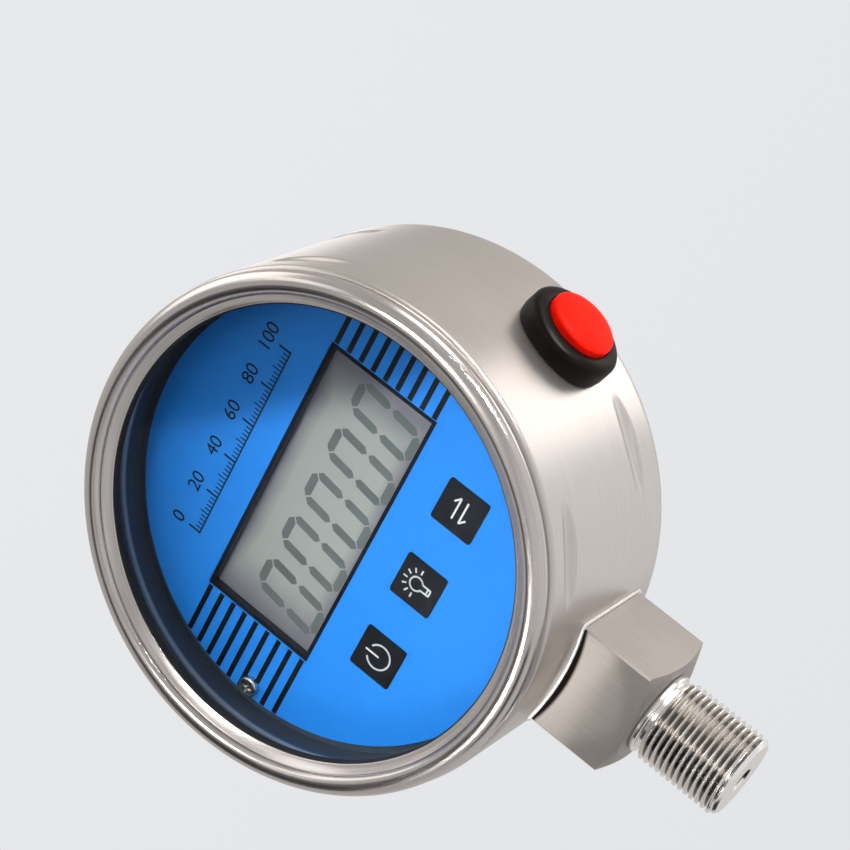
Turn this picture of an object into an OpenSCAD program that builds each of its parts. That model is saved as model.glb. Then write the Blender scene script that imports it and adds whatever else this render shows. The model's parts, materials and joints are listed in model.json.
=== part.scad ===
// Digital pressure gauge: a drawn steel cup with a rolled bezel, a display
// dial with three keys behind glass, a push button through the side wall and
// a square connection block whose threaded stud points down.
// Lengths are millimetres. The origin is on the stud's axis where its full
// thread begins, +Z points up the stud and the dial looks along -Y.

/* [Case] */
// Outer diameter of the drawn cup
case_d = 114.4; // [110:0.2:118]
// Sheet thickness of the cup
case_wall = 1.2; // [0.9:0.1:1.4]
// Depth of the cup from its front rim to its back
case_depth = 53; // [51:0.5:60]
// Outside radius of the rounded back edge
case_edge_r = 4; // [2:0.5:6]
// Radius that the front rim is turned in by
case_rim_r = 1.1; // [0.6:0.1:1.2]
// How far the rim lies behind the inner edge of the bezel
case_rim_depth = 1.7; // [1.5:0.1:2]

/* [Pressed dimples] */
// Radial depth of a dimple
dimple_depth = 1.1; // [0.8:0.1:1.4]
// Radius of the punch that presses a dimple
dimple_r = 3.5; // [2.5:0.5:4.5]
// Depth of the front row behind the bezel's inner edge
front_dimple_depth = 9.4; // [9.2:0.1:10]
// Direction of the first front dimple, in degrees from the right
front_dimple_angle = 32; // [20:1:40]
// Direction of the first rear dimple, in degrees from the right
rear_dimple_angle = -43; // [-50:1:-40]

/* [Bezel] */
// How far the bead lies inside the case's outline
bezel_inset = 0.4; // [0.2:0.1:1]
// Width of the rolled bead
bead_w = 4.8; // [4:0.1:5.4]
// Width of the lip between the crease and its inner edge
lip_w = 2.2; // [1.6:0.1:3.4]
// How far the bead stands in front of the lip's inner edge
bead_h = 2.8; // [2:0.1:3.5]
// How far the crease stands in front of the lip's inner edge
crease_h = 1.3; // [0.8:0.1:1.8]
// Thickness of the lip at its inner edge
lip_t = 0.9; // [0.7:0.1:1.1]
// Thickness of the skirt inside the case
skirt_t = 1; // [0.7:0.1:1.2]
// Depth that the skirt reaches behind the lip's inner edge
skirt_depth = 5.4; // [5:0.1:5.5]

/* [Window] */
// Thickness of the rubber ring in front of the glass
gasket_t = 1; // [0.8:0.1:1.1]
// Thickness of the front glass
glass_t = 3; // [2.5:0.1:3.1]

/* [Dial] */
// Width of the black ledge that shows round the dial plate
dial_gap = 2.8; // [1.8:0.1:3.4]
// Depth of the dial's face behind the bezel's inner edge
dial_depth = 14.2; // [13.6:0.1:15]
// Thickness of the dial plate
dial_t = 1.5; // [1.2:0.1:2]
// Wall of the black well round the dial
well_wall = 1.6; // [1.2:0.1:1.9]
// Distance of a dial screw from the dial's edge
dial_screw_inset = 2.4; // [2.2:0.1:3]

/* [Display] */
// Width of the display opening in the dial
display_w = 67.2; // [60:0.2:68]
// Height of the display opening in the dial
display_h = 29; // [26:0.2:30]
// Height of the display's centre above the dial's centre
display_up = 5.7; // [4:0.1:7]
// Width of the black rim that shows round the glass
display_rim = 1; // [0.8:0.1:1.4]
// Depth of the display glass below the rim's face
display_sink = 2; // [1.6:0.1:2.4]

/* [Keys] */
// Side of a square key
key_w = 10.6; // [9:0.2:12]
// Distance between neighbouring keys
key_pitch = 20.5; // [19:0.5:22]
// Distance of the keys below the dial's centre
key_down = 22.5; // [21:0.5:24]
// Travel of a key
key_travel = 0.4; // [0.2:0.1:0.5]

/* [Connection] */
// Major diameter of the stud's thread
stud_d = 20; // [18:0.5:22]
// Length of the full thread
thread_len = 19.4; // [16:0.2:24]
// Diameter of the relief at the end of the thread
relief_d = 17.4; // [16:0.2:17.8]
// Length of the relief at the end of the thread
relief_len = 0.9; // [0.6:0.1:1.5]
// Diameter of the turned ring between the relief and the block
neck_d = 19.4; // [18:0.2:20]
// Length of the turned ring between the relief and the block
neck_len = 1.5; // [1:0.1:2.5]
// Length and radial width of the chamfer at the stud's tip
tip_chamfer = 1.2; // [0.8:0.1:2]
// Diameter of the pressure port
port_d = 5; // [4:0.5:6]
// Distance across the flats of the square block
block_w = 26; // [24:0.5:28]
// Length of the block from its end face to the case
block_len = 18.2; // [16:0.2:24]
// Height of the turned chamfer at the block's corners
block_chamfer = 1.9; // [1:0.1:2.5]
// Depth of the stud's axis behind the bezel's inner edge
stud_depth = 32.8; // [32:0.2:34]

/* [Push button] */
// Direction of the button, in degrees from the right
button_angle = -17; // [-20:1:-10]
// How far the button's axis lies behind the middle of the room behind the dial
button_back = 0.2; // [-0.4:0.1:0.6]
// Diameter of the black collar
collar_d = 22.8; // [22:0.2:24]
// Height of the collar on the case
collar_h = 5.3; // [4.8:0.1:7]
// Diameter of the red cap
cap_d = 15.8; // [15:0.1:16.4]
// Height of the cap above the collar
cap_rise = 2.9; // [2.5:0.1:4]
// Travel of the cap
button_travel = 2; // [1:0.1:2.2]

/* [Hidden] */
$fn = 96;

// Overrun of a cut past the face that it opens
over = 1;
// Gap between pieces that seat on each other
seat = 0.05;
// Gap round a piece that is dropped into its place
drop_in = 0.1;
// Radial clearance of a shaft that slides in its bore
running = 0.05;
// Points on a quarter of a rounded profile
round_steps = 8;

// Radii of the case and of what nests inside it
case_r = case_d / 2;
case_ir = case_r - case_wall;
bezel_r = case_r - bezel_inset;
crease_r = bezel_r - bead_w;
window_r = crease_r - lip_w;
skirt_or = case_ir - seat;
skirt_ir = skirt_or - skirt_t;
housing_r = case_ir - dimple_depth - drop_in;
flange_r = case_ir - drop_in;
well_r = housing_r - well_wall;
dial_r = well_r - dial_gap;

// Depths behind the bezel's inner edge, front to back
glass_depth = lip_t + gasket_t + seat;
housing_depth = glass_depth + glass_t + seat;
dial_back = dial_depth + dial_t;
ledge_t = 1.5;
ledge_back = dial_back + seat + ledge_t;
board_gap = 6.3;
board_t = 1.6;
board_depth = dial_back + board_gap;
board_back = board_depth + board_t;
pillar_len = 13.8;
chassis_t = 1.5;
chassis_depth = board_back + pillar_len;
chassis_back = chassis_depth + chassis_t;
case_back = case_rim_depth + case_depth;

button_depth = (ledge_back + case_back - case_wall) / 2 + button_back;

// The sheet's inner bulge under a dimple, half its width along the case
bulge_r = dimple_r + case_wall;
dimple_centre_r = case_r + dimple_r - dimple_depth;
bulge_half = sqrt(pow(bulge_r, 2) - pow(dimple_centre_r - case_ir, 2));
shoulder_depth = front_dimple_depth + bulge_half + drop_in;
rear_dimple_depth = chassis_back + bulge_half + drop_in;
dimple_count = 4;

// Heights of the connection, from the origin up
neck_z = thread_len + relief_len;
block_z = neck_z + neck_len;
case_z = block_z + block_len + case_r;
stud_r = stud_d / 2;

// Ledge, bosses and screws that carry the dial and the board
ledge_band = 7.7;
boss_r = 3.2;
board_margin = 2.4;
boss_edge = 4.1;
boss_place = (well_r - board_margin - boss_edge) / sqrt(2);
pilot_r = 1.05;
screw_boss_r = 2.6;
screw_boss_h = 3;

// Pan head screws: thread radius, head radius, head height, slot
screw_r = 1.25;
screw_head_r = 2.4;
screw_head_h = 1.5;
screw_clear = 0.15;
dial_screw_len = 4.2;
short_screw_len = 3;
cross_w = 0.6;
cross_depth = 0.7;
head_round = 0.6;

// Display pieces behind the opening
rim_gap = 0.1;
rim_under = 0.1;
frame_wall = 1.1;
frame_lip = 0.9;
panel_margin = 2.4;
panel_t = 2.2;
strip_w = 2.4;
strip_inset = 0.5;
strip_end = 4;
backlight_gap = 0.3;

// Key pieces
key_gap = 0.1;
key_round = 0.7;
key_proud = 0.2;
key_flange = 0.9;
key_flange_t = 0.8;
key_stem_r = 2;
switch_w = 6;
switch_h = 3.4;
plunger_r = 1.75;
plunger_proud = 1;
plunger_seat = 0.6;

// Board outline and the parts soldered to its back
board_clear = 2.2;
chip_w = 10;
chip_t = 1.4;
chip_x = -20;
chip_y = -24;
adc_w = 5;
adc_l = 6.4;
adc_x = 14;
adc_y = -27;
socket_w = 12;
socket_l = 4;
socket_h = 2;
lead_socket_w = 6;

// Pillars between the board and the chassis plate
pillar_flats = 5.5;
pillar_stud = 4.6;

// Chassis plate
chassis_margin = 0.5;
notch_clear = 1;
notch_in = 3;
hole_clear = 0.15;

// Three small cells side by side in an open tray
cell_d = 10.5;
cell_len = 44.5;
cell_nub_r = 1.9;
cell_nub_h = 0.8;
cell_pitch = 12;
cell_count = 3;
tray_t = 1.4;
tray_up = 8;
tray_clear = 2.2;
tray_h = 9;
contact_room = 3;
contact_t = 0.4;
contact_w = 8;
tray_screw_x = 11;

// Sensor capsule in the block
spigot_r = 12.5;
spigot_rise = 13;
sensor_r = 9.45;
sensor_h = 12;
sensor_floor = 14.2;
sensor_clear = 0.05;
groove_w = 2;
groove_deep = 1.6;
groove_up = 3;
seal_wire_r = 0.78;
ring_h = 3;
ring_ir = 6.4;
header_r = 5.8;
header_h = 2;
pin_r = 0.4;
pin_ring_r = 3;
pin_h = 4.4;
pin_count = 4;
plug_w = 9;
plug_l = 8;
plug_h = 2.4;
ribbon_w = 8;
ribbon_t = 0.7;
ribbon_rise = 2.6;
ribbon_bend_r = 2;

// Weld round the block where it meets the case
weld_w = 0.6;
weld_h = 0.6;
block_edge = 0.5;

// Push button, as heights above the case's skin along its axis
sleeve_r = 8;
pocket_r = 6.2;
collar_side_share = 0.64;
collar_mouth = 0.7;
skirt_rest = 0.3;
web_t = 3.2;
web_drop = 4;
chamber_h = 6;
nut_flats = 22;
nut_t = 4;
nut_drop = 3.2;
plug_t = 2;
cap_wall = 1.2;
cap_roof = 1.6;
cap_lip = 1;
dome_h = 1.9;
dome_power = 2.4;
stem_r = 3;
hub_r = 3.9;
hub_grip = 1.2;
bridge_r = 5.2;
bridge_t = 0.6;
lug_w = 2.4;
lug_t = 0.6;
lug_off = 3.4;
lug_out = 7;
lug_gap = 0.1;
spring_wire = 0.8;
spring_r = 5;
spring_turns = 5;
lead_w = 7.6;
lead_t = 0.9;
lead_bend_r = 2.5;
lead_run = 2;

// Heights above the case's axis along the button
web_top = case_r - web_drop;
web_low = web_top - web_t;
sleeve_low = web_low - chamber_h;
nut_top = case_r - nut_drop;
cap_foot = case_r + button_travel + skirt_rest;
cap_side_top = case_r + collar_h + cap_rise - dome_h;
cap_under = cap_side_top + dome_h - cap_roof;
bridge_top = web_low - seat;
lug_top = bridge_top - bridge_t - button_travel - lug_gap;
lug_low = sleeve_low - lug_out;
lead_x = lug_low - lead_run - lead_bend_r;

// Places of the moving plungers and the display's centre
board_flat_y = -case_r + spigot_rise + board_clear;
stem_end = board_depth - switch_h - plunger_proud;
frame_depth = dial_depth + rim_under;
panel_depth = frame_depth + display_sink;
panel_back = panel_depth + panel_t;
panel_w = display_w + panel_margin;
panel_h = display_h + 2 * panel_margin;
tray_w = cell_len + 2 * (contact_room + tray_t);
tray_l = cell_count * cell_pitch + 2 * tray_t;
tray_front = chassis_depth - seat - tray_t;
cell_depth = tray_front - seat - cell_d / 2;

// The tray lies beside the button's lead
lead_edge = (lead_x - lead_t) * cos(button_angle) - (lead_w / 2 + lug_t) * abs(sin(button_angle));
tray_x = lead_edge - tray_clear - tray_w / 2;

// Places along the sensor and its ribbon
sensor_z = block_z + sensor_floor + seat;
plug_z = sensor_z + sensor_h + header_h + pin_h + seat;
ribbon_y = plug_z + plug_h + ribbon_rise + ribbon_bend_r - case_z;
strip_y = panel_h / 2 - strip_inset - strip_w / 2;

// Colours, as the object shows them
steel = [0.72, 0.69, 0.66];
bright = [0.82, 0.81, 0.79];
blue = [0.2, 0.58, 0.95];
black = [0.07, 0.07, 0.08];
red = [0.9, 0.1, 0.06];
brass = [0.8, 0.65, 0.3];
green = [0.05, 0.3, 0.16];
grey_green = [0.62, 0.67, 0.62];
rubber = [0.1, 0.1, 0.1];

function arc(cx, cy, r, a0, a1, steps = round_steps) =
    [for (i = [0:steps]) let (a = a0 + (a1 - a0) * i / steps) [cx + r * cos(a), cy + r * sin(a)]];

// A round wire along a coil that may widen from r0 to r1
function coil_points(r0, r1, h, turns, wire, steps, sides) =
    [for (i = [0:steps]) for (j = [0:sides - 1])
        let (t = i / steps, a = 360 * turns * t, r = r0 + (r1 - r0) * t, b = 360 * j / sides,
             rr = r + wire / 2 * cos(b))
        [rr * cos(a), rr * sin(a), h * t + wire / 2 * sin(b)]];
function coil_faces(steps, sides) = concat(
    [[for (j = [0:sides - 1]) j]],
    [for (i = [0:steps - 1]) for (j = [0:sides - 1]) for (k = [0:1])
        let (a = i * sides + j, b = i * sides + (j + 1) % sides)
        k == 0 ? [a, a + sides, b] : [b, a + sides, b + sides]],
    [[for (j = [0:sides - 1]) steps * sides + sides - 1 - j]]);

// The dial's frame: x right, y up, z towards the reader, z = 0 at the lip
module face_frame() {
    translate([0, -stud_depth, case_z]) rotate([90, 0, 0]) children();
}

// A length of material that starts at depth d behind the lip
module slab(d, t) {
    translate([0, 0, -d - t]) linear_extrude(t) children();
}

// The button's frame: z out along its axis from the case's axis
module button_frame() {
    face_frame() translate([0, 0, -button_depth]) rotate([0, 0, button_angle])
        rotate([0, 90, 0]) children();
}

// The case's cylinder, lying across the button's axis
module across(r, length) {
    rotate([0, 90, 0]) cylinder(r = r, h = length, center = true, $fn = 2 * $fn);
}

// Square with round corners, about the origin
module rounded(w, h, r) {
    square([w - 2 * r, h], center = true);
    square([w, h - 2 * r], center = true);
    for (x = [-1, 1]) for (y = [-1, 1])
        translate([x * (w / 2 - r), y * (h / 2 - r)]) circle(r);
}

// Pan head screw: head above z = 0, thread below
module pan_screw(length) {
    difference() {
        rotate_extrude() polygon(concat(
            [[0, -length], [screw_r, -length], [screw_r, 0], [screw_head_r, 0]],
            arc(screw_head_r - head_round, screw_head_h - head_round, head_round, 0, 90),
            [[0, screw_head_h]]));
        for (a = [0, 90]) rotate([0, 0, a])
            translate([0, 0, screw_head_h]) cube([2 * screw_r, cross_w, 2 * cross_depth], center = true);
    }
}

// A straight round bar across the case, which leaves a groove that runs out at its ends
module punch(r) {
    translate([dimple_centre_r, 0, 0]) rotate([90, 0, 0])
        cylinder(r = r, h = case_r, center = true);
}

module dimples(r) {
    for (i = [0:dimple_count - 1]) {
        rotate([0, 0, front_dimple_angle + 360 * i / dimple_count])
            translate([0, 0, -front_dimple_depth]) punch(r);
        rotate([0, 0, rear_dimple_angle + 360 * i / dimple_count])
            translate([0, 0, -rear_dimple_depth]) punch(r);
    }
}

// Cup outline: back, rounded edge, side wall and turned-in rim
module cup_outline() {
    edge_ir = case_edge_r - case_wall;
    polygon(concat(
        [[0, -case_back]],
        arc(case_r - case_edge_r, -case_back + case_edge_r, case_edge_r, -90, 0),
        arc(case_r - case_rim_r, -case_rim_depth - case_rim_r, case_rim_r, 0, 90),
        [[case_ir, -case_rim_depth]],
        arc(case_ir - edge_ir, -case_back + case_wall + edge_ir, edge_ir, 0, -90),
        [[0, -case_back + case_wall]]));
}

module case_shell() {
    color(steel) difference() {
        face_frame() difference() {
            union() {
                rotate_extrude() cup_outline();
                intersection() {
                    dimples(bulge_r);
                    slab(case_rim_depth + case_rim_r, case_depth - case_rim_r - case_edge_r)
                        circle(case_r - case_wall / 2);
                }
            }
            dimples(dimple_r);
        }
        button_frame() translate([0, 0, case_r / 2]) cylinder(r = sleeve_r + drop_in, h = case_r);
        cylinder(r = spigot_r + seat, h = case_z);
    }
}

module bezel_ring() {
    bead_back = case_rim_depth - seat;
    color(steel) face_frame() rotate_extrude() polygon(concat(
        [[window_r, -lip_t], [window_r, 0], [crease_r, crease_h]],
        [for (i = [1:2 * round_steps]) let (a = 180 - 180 * i / (2 * round_steps))
            [crease_r + bead_w / 2 + bead_w / 2 * cos(a),
             (bead_h - crease_h / 2) * sin(a) + crease_h * (1 - i / (2 * round_steps))]],
        [[bezel_r - case_rim_r, -bead_back], [skirt_or, -bead_back],
         [skirt_or, -skirt_depth], [skirt_ir, -skirt_depth], [skirt_ir, -lip_t]]));
}

module window_gasket() {
    color(rubber) face_frame() slab(lip_t + seat / 2, gasket_t) difference() {
        circle(housing_r);
        circle(window_r + drop_in);
    }
}

module window_glass() {
    color([0.85, 0.93, 0.95, 0.3]) face_frame() slab(glass_depth, glass_t) circle(housing_r);
}

module board_places() {
    for (x = [-1, 1]) for (y = [-1, 1]) translate([x * boss_place, y * boss_place]) children();
}

module dial_screw_places() {
    for (x = [-1, 1]) translate([x * (dial_r - dial_screw_inset), 0]) children();
}

module inner_housing() {
    color(black) face_frame() difference() {
        union() {
            rotate_extrude() polygon([
                [well_r, -housing_depth], [housing_r, -housing_depth],
                [housing_r, -shoulder_depth], [flange_r, -shoulder_depth],
                [flange_r, -ledge_back], [well_r - ledge_band, -ledge_back],
                [well_r - ledge_band, -dial_back - seat], [well_r, -dial_back - seat]]);
            slab(dial_back + seat, board_gap - 2 * seat) board_places() circle(boss_r);
            slab(dial_back + seat, ledge_t + screw_boss_h) dial_screw_places() circle(screw_boss_r);
        }
        slab(dial_back - over, board_gap + 2 * over) board_places() circle(screw_r + seat);
        slab(dial_back - over, 2 * over + dial_screw_len) dial_screw_places() circle(screw_r + seat);
    }
}

module display_place() {
    translate([0, display_up]) children();
}

module key_place(i) {
    translate([i * key_pitch, -key_down]) children();
}

module dial_plate() {
    color(blue) face_frame() slab(dial_depth, dial_t) difference() {
        circle(dial_r);
        display_place() square([display_w, display_h], center = true);
        for (i = [-1:1]) key_place(i) rounded(key_w + 2 * key_gap, key_w + 2 * key_gap, key_round);
        dial_screw_places() circle(screw_r + screw_clear);
    }
}

module dial_screws() {
    color(bright) face_frame() dial_screw_places()
        translate([0, 0, -dial_depth + seat]) pan_screw(dial_screw_len);
}

// Frame with a rim in the dial's opening and walls down to the board
module display_frame() {
    rim_w = display_w - 2 * rim_gap;
    rim_h = display_h - 2 * rim_gap;
    open_w = display_w - 2 * display_rim;
    open_h = display_h - 2 * display_rim;
    box_w = panel_w + 2 * drop_in;
    box_h = panel_h + 2 * drop_in;
    under = dial_back + seat;
    color(black) face_frame() display_place() difference() {
        union() {
            slab(frame_depth, under - frame_depth) square([rim_w, rim_h], center = true);
            slab(under, board_depth - under - seat)
                square([box_w + 2 * frame_wall, box_h + 2 * frame_wall], center = true);
        }
        slab(frame_depth - over, display_sink + over + seat) square([open_w, open_h], center = true);
        slab(panel_depth - seat, board_depth) square([box_w, box_h], center = true);
    }
}

module display_glass() {
    color(grey_green) face_frame() display_place() slab(panel_depth, panel_t)
        square([panel_w, panel_h], center = true);
}

module display_backlight() {
    light_h = 2 * (strip_y - strip_w / 2 - backlight_gap);
    color([0.93, 0.94, 0.9]) face_frame() display_place()
        slab(panel_back + seat, board_depth - panel_back - 2 * seat)
            square([panel_w - 2 * backlight_gap, light_h], center = true);
}

module display_strips() {
    color([0.75, 0.75, 0.78]) face_frame() display_place() for (y = [-1, 1])
        translate([0, y * strip_y]) slab(panel_back + seat, board_depth - panel_back - 2 * seat)
            square([panel_w - 2 * strip_end, strip_w], center = true);
}

module keycap(i) {
    front = dial_depth - key_proud;
    flange = dial_back + seat;
    color(black) face_frame() key_place(i) {
        slab(front, flange - front + key_flange_t / 2) rounded(key_w, key_w, key_round);
        slab(flange, key_flange_t)
            rounded(key_w + 2 * key_flange, key_w + 2 * key_flange, key_round);
        slab(flange, stem_end - seat - flange) circle(key_stem_r);
    }
}

module plunger(i) {
    color([0.3, 0.3, 0.3]) face_frame() key_place(i)
        slab(stem_end, plunger_proud + plunger_seat) circle(plunger_r);
}

module key_power() { keycap(-1); }
module key_light() { keycap(0); }
module key_unit() { keycap(1); }
module plunger_power() { plunger(-1); }
module plunger_light() { plunger(0); }
module plunger_unit() { plunger(1); }

module key_switches() {
    top = board_depth - switch_h;
    color([0.15, 0.15, 0.15]) face_frame() for (i = [-1:1]) key_place(i) difference() {
        slab(top, switch_h - seat) square(switch_w, center = true);
        slab(top - over, over + plunger_seat + key_travel + drop_in) circle(plunger_r + running);
    }
}

module main_board() {
    r = well_r - board_margin;
    color(green) face_frame() slab(board_depth, board_t) difference() {
        circle(r);
        translate([-r, board_flat_y - 2 * r]) square(2 * r);
        board_places() circle(screw_r + hole_clear);
    }
}

// Controller, converter and the two sockets, on the back of the board
module board_parts() {
    color(black) face_frame() {
        translate([chip_x, chip_y]) slab(board_back + seat, chip_t) square(chip_w, center = true);
        translate([adc_x, adc_y]) slab(board_back + seat, chip_t) square([adc_w, adc_l], center = true);
    }
    color([0.9, 0.88, 0.8]) face_frame() {
        translate([0, ribbon_y]) slab(board_back + seat, socket_h)
            square([socket_w, socket_l], center = true);
        rotate([0, 0, button_angle]) translate([lead_x, 0]) slab(board_back + seat, socket_h)
            square([socket_l, lead_socket_w + socket_l], center = true);
    }
}

module board_pillars() {
    flats_r = pillar_flats / 2 / cos(30);
    color(brass) face_frame() board_places() difference() {
        union() {
            slab(board_back + seat, pillar_len - 2 * seat) circle(flats_r, $fn = 6);
            slab(board_back - pillar_stud, pillar_stud + pillar_len / 2) circle(screw_r);
        }
        slab(chassis_depth - short_screw_len - seat, short_screw_len + over) circle(screw_r + seat);
    }
}

module chassis_plate() {
    r = case_ir - chassis_margin;
    nut_room = nut_flats / 2 / cos(30) + notch_clear;
    color(bright) face_frame() slab(chassis_depth, chassis_t) difference() {
        circle(r);
        translate([-spigot_r - notch_clear, -2 * r])
            square([2 * (spigot_r + notch_clear), 2 * r + board_flat_y]);
        rotate([0, 0, button_angle]) translate([lead_x - notch_in, -nut_room])
            square([2 * r, 2 * nut_room]);
        board_places() circle(screw_r + hole_clear);
        tray_screw_places() circle(screw_r + hole_clear);
    }
}

module chassis_screws() {
    color(bright) face_frame() board_places() translate([0, 0, -chassis_back - seat])
        mirror([0, 0, 1]) pan_screw(short_screw_len + chassis_t - drop_in);
}

module tray_place() {
    translate([tray_x, tray_up]) children();
}

module tray_screw_places() {
    tray_place() for (x = [-1, 1]) translate([x * tray_screw_x, 0]) children();
}

module battery_holder() {
    color(black) face_frame() difference() {
        tray_place() difference() {
            slab(tray_front - tray_h, tray_h + tray_t) square([tray_w, tray_l], center = true);
            slab(tray_front - tray_h - over, tray_h + over)
                square([tray_w - 2 * tray_t, tray_l - 2 * tray_t], center = true);
        }
        slab(tray_front - over, tray_t + 2 * over) tray_screw_places() circle(screw_r + seat);
    }
}

module holder_screws() {
    color(bright) face_frame() tray_screw_places() translate([0, 0, -chassis_back - seat])
        mirror([0, 0, 1]) pan_screw(chassis_t + tray_t - drop_in);
}

// Neighbouring cells lie in opposite directions
module cell_places() {
    for (i = [0:cell_count - 1])
        translate([tray_x, tray_up + (i - (cell_count - 1) / 2) * cell_pitch, -cell_depth])
            rotate([0, 0, 180 * (i % 2)]) children();
}

module battery_cells() {
    color([0.25, 0.27, 0.3]) face_frame() cell_places() rotate([0, 90, 0]) {
        translate([0, 0, -cell_len / 2]) cylinder(d = cell_d, h = cell_len - cell_nub_h);
        translate([0, 0, cell_len / 2 - 2 * cell_nub_h]) cylinder(r = cell_nub_r, h = 2 * cell_nub_h);
    }
}

// A flat plate at each end of a cell with a bowed leaf that presses on it
module battery_contacts() {
    wall = cell_len / 2 + contact_room - seat;
    bow = contact_room - contact_t - 2 * seat;
    leaf_r = (pow(contact_w / 2, 2) + pow(bow, 2)) / (2 * bow);
    leaf_a = asin(contact_w / 2 / leaf_r);
    color(bright) face_frame() cell_places() for (m = [0, 1]) mirror([m, 0, 0])
        translate([wall, 0, -contact_w / 2]) linear_extrude(contact_w) {
            translate([-contact_t, -contact_w / 2]) square([contact_t, contact_w]);
            polygon(concat(
                arc(leaf_r - contact_t - bow, 0, leaf_r, 180 - leaf_a, 180 + leaf_a),
                arc(leaf_r - contact_t - bow, 0, leaf_r - contact_t, 180 + leaf_a, 180 - leaf_a)));
        }
}

// Square with its corners taken off, the block's section
module block_section(w, edge) {
    h = w / 2;
    c = h - edge;
    polygon([[h, c], [c, h], [-c, h], [-h, c], [-h, -c], [-c, -h], [c, -h], [h, -c]]);
}

module case_axis_cylinder(r) {
    face_frame() cylinder(r = r, h = 4 * case_depth, center = true);
}

module connection_block() {
    corner_r = block_w / 2 * sqrt(2);
    seat_z = block_z + sensor_floor;
    top = block_z + block_len + spigot_rise;
    color(steel) difference() {
        union() {
            difference() {
                intersection() {
                    translate([0, 0, block_z]) linear_extrude(block_len + block_w / 2)
                        block_section(block_w, block_edge);
                    rotate_extrude() polygon([[0, block_z], [block_w / 2, block_z],
                        [corner_r, block_z + block_chamfer], [corner_r, top], [0, top]]);
                }
                case_axis_cylinder(case_r + seat);
            }
            rotate_extrude() polygon([[0, -tip_chamfer], [stud_r - tip_chamfer, -tip_chamfer],
                [stud_r, 0], [stud_r, thread_len], [relief_d / 2, thread_len], [relief_d / 2, neck_z],
                [neck_d / 2, neck_z], [neck_d / 2, block_z + over], [spigot_r, block_z + over],
                [spigot_r, top], [0, top]]);
        }
        translate([0, 0, -2 * tip_chamfer]) cylinder(d = port_d, h = seat_z + 2 * tip_chamfer + over);
        translate([0, 0, seat_z]) cylinder(r = sensor_r + sensor_clear, h = block_len + spigot_rise);
    }
}

module weld_seam() {
    color(bright) difference() {
        translate([0, 0, block_z + block_len / 2]) linear_extrude(block_w) difference() {
            block_section(block_w + 2 * weld_w, block_edge + weld_w / 2);
            block_section(block_w + 2 * seat, block_edge);
        }
        case_axis_cylinder(case_r + seat);
        difference() {
            case_axis_cylinder(2 * case_r);
            case_axis_cylinder(case_r + seat + weld_h);
        }
    }
}

module pressure_sensor() {
    color(bright) translate([0, 0, sensor_z]) {
        rotate_extrude() polygon([[0, 0], [sensor_r, 0], [sensor_r, groove_up],
            [sensor_r - groove_deep, groove_up], [sensor_r - groove_deep, groove_up + groove_w],
            [sensor_r, groove_up + groove_w], [sensor_r, sensor_h], [header_r, sensor_h],
            [header_r, sensor_h + header_h], [0, sensor_h + header_h]]);
        for (i = [0:pin_count - 1]) rotate([0, 0, 360 * i / pin_count + 45])
            translate([pin_ring_r, 0, sensor_h]) cylinder(r = pin_r, h = header_h + pin_h);
    }
}

module sensor_seal() {
    color(rubber) translate([0, 0, sensor_z + groove_up + groove_w / 2]) rotate_extrude()
        translate([sensor_r - seal_wire_r, 0]) circle(seal_wire_r);
}

module sensor_ring() {
    color(brass) translate([0, 0, sensor_z + sensor_h + seat]) difference() {
        cylinder(r = sensor_r, h = ring_h);
        translate([0, 0, -over]) cylinder(r = ring_ir, h = ring_h + 2 * over);
    }
}

// The ribbon leaves its plug upwards and bends forward to the board
module sensor_ribbon() {
    top = plug_z + plug_h;
    bend_z = top + ribbon_rise;
    end_y = board_back + socket_h + 2 * seat - stud_depth;
    color([0.5, 0.5, 0.52]) {
        translate([-plug_w / 2, -plug_l / 2, plug_z]) cube([plug_w, plug_l, plug_h]);
        translate([-ribbon_w / 2, 0, 0]) rotate([90, 0, 90]) linear_extrude(ribbon_w) polygon(concat(
            [[ribbon_t / 2, top - plug_h / 2]],
            arc(-ribbon_bend_r, bend_z, ribbon_bend_r + ribbon_t / 2, 0, 90),
            [[end_y, bend_z + ribbon_bend_r + ribbon_t / 2],
             [end_y, bend_z + ribbon_bend_r - ribbon_t / 2]],
            arc(-ribbon_bend_r, bend_z, ribbon_bend_r - ribbon_t / 2, 90, 0),
            [[-ribbon_t / 2, top - plug_h / 2]]));
    }
}

// Collar and threaded sleeve in one piece, cut to sit on the case
module button_collar() {
    side = case_r + collar_h * collar_side_share;
    mouth_r = cap_d / 2 + running + collar_mouth;
    top = case_r + collar_h;
    color(black) button_frame() difference() {
        union() {
            difference() {
                rotate_extrude() polygon(concat(
                    [[0, case_r - nut_drop], [collar_d / 2, case_r - nut_drop]],
                    [for (i = [0:round_steps]) let (a = 90 * i / round_steps)
                        [mouth_r + (collar_d / 2 - mouth_r) * cos(a), side + (top - side) * sin(a)]],
                    [[0, top]]));
                across(case_r + seat, 2 * case_depth);
            }
            translate([0, 0, sleeve_low]) cylinder(r = sleeve_r, h = case_r + collar_h / 2 - sleeve_low);
        }
        translate([0, 0, cap_foot - button_travel - drop_in])
            cylinder(r = cap_d / 2 + running, h = 2 * collar_h);
        translate([0, 0, web_top]) cylinder(r = pocket_r, h = 2 * collar_h);
        translate([0, 0, sleeve_low - over]) cylinder(r = pocket_r, h = chamber_h + over);
        translate([0, 0, sleeve_low]) cylinder(r = stem_r + running, h = case_r);
    }
}

module button_washer() {
    color([0.2, 0.2, 0.2]) button_frame() intersection() {
        difference() {
            translate([0, 0, nut_top + seat]) cylinder(r = collar_d / 2, h = nut_drop);
            translate([0, 0, nut_top - over]) cylinder(r = sleeve_r + drop_in, h = case_r);
        }
        across(case_ir - seat, case_depth);
    }
}

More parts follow.
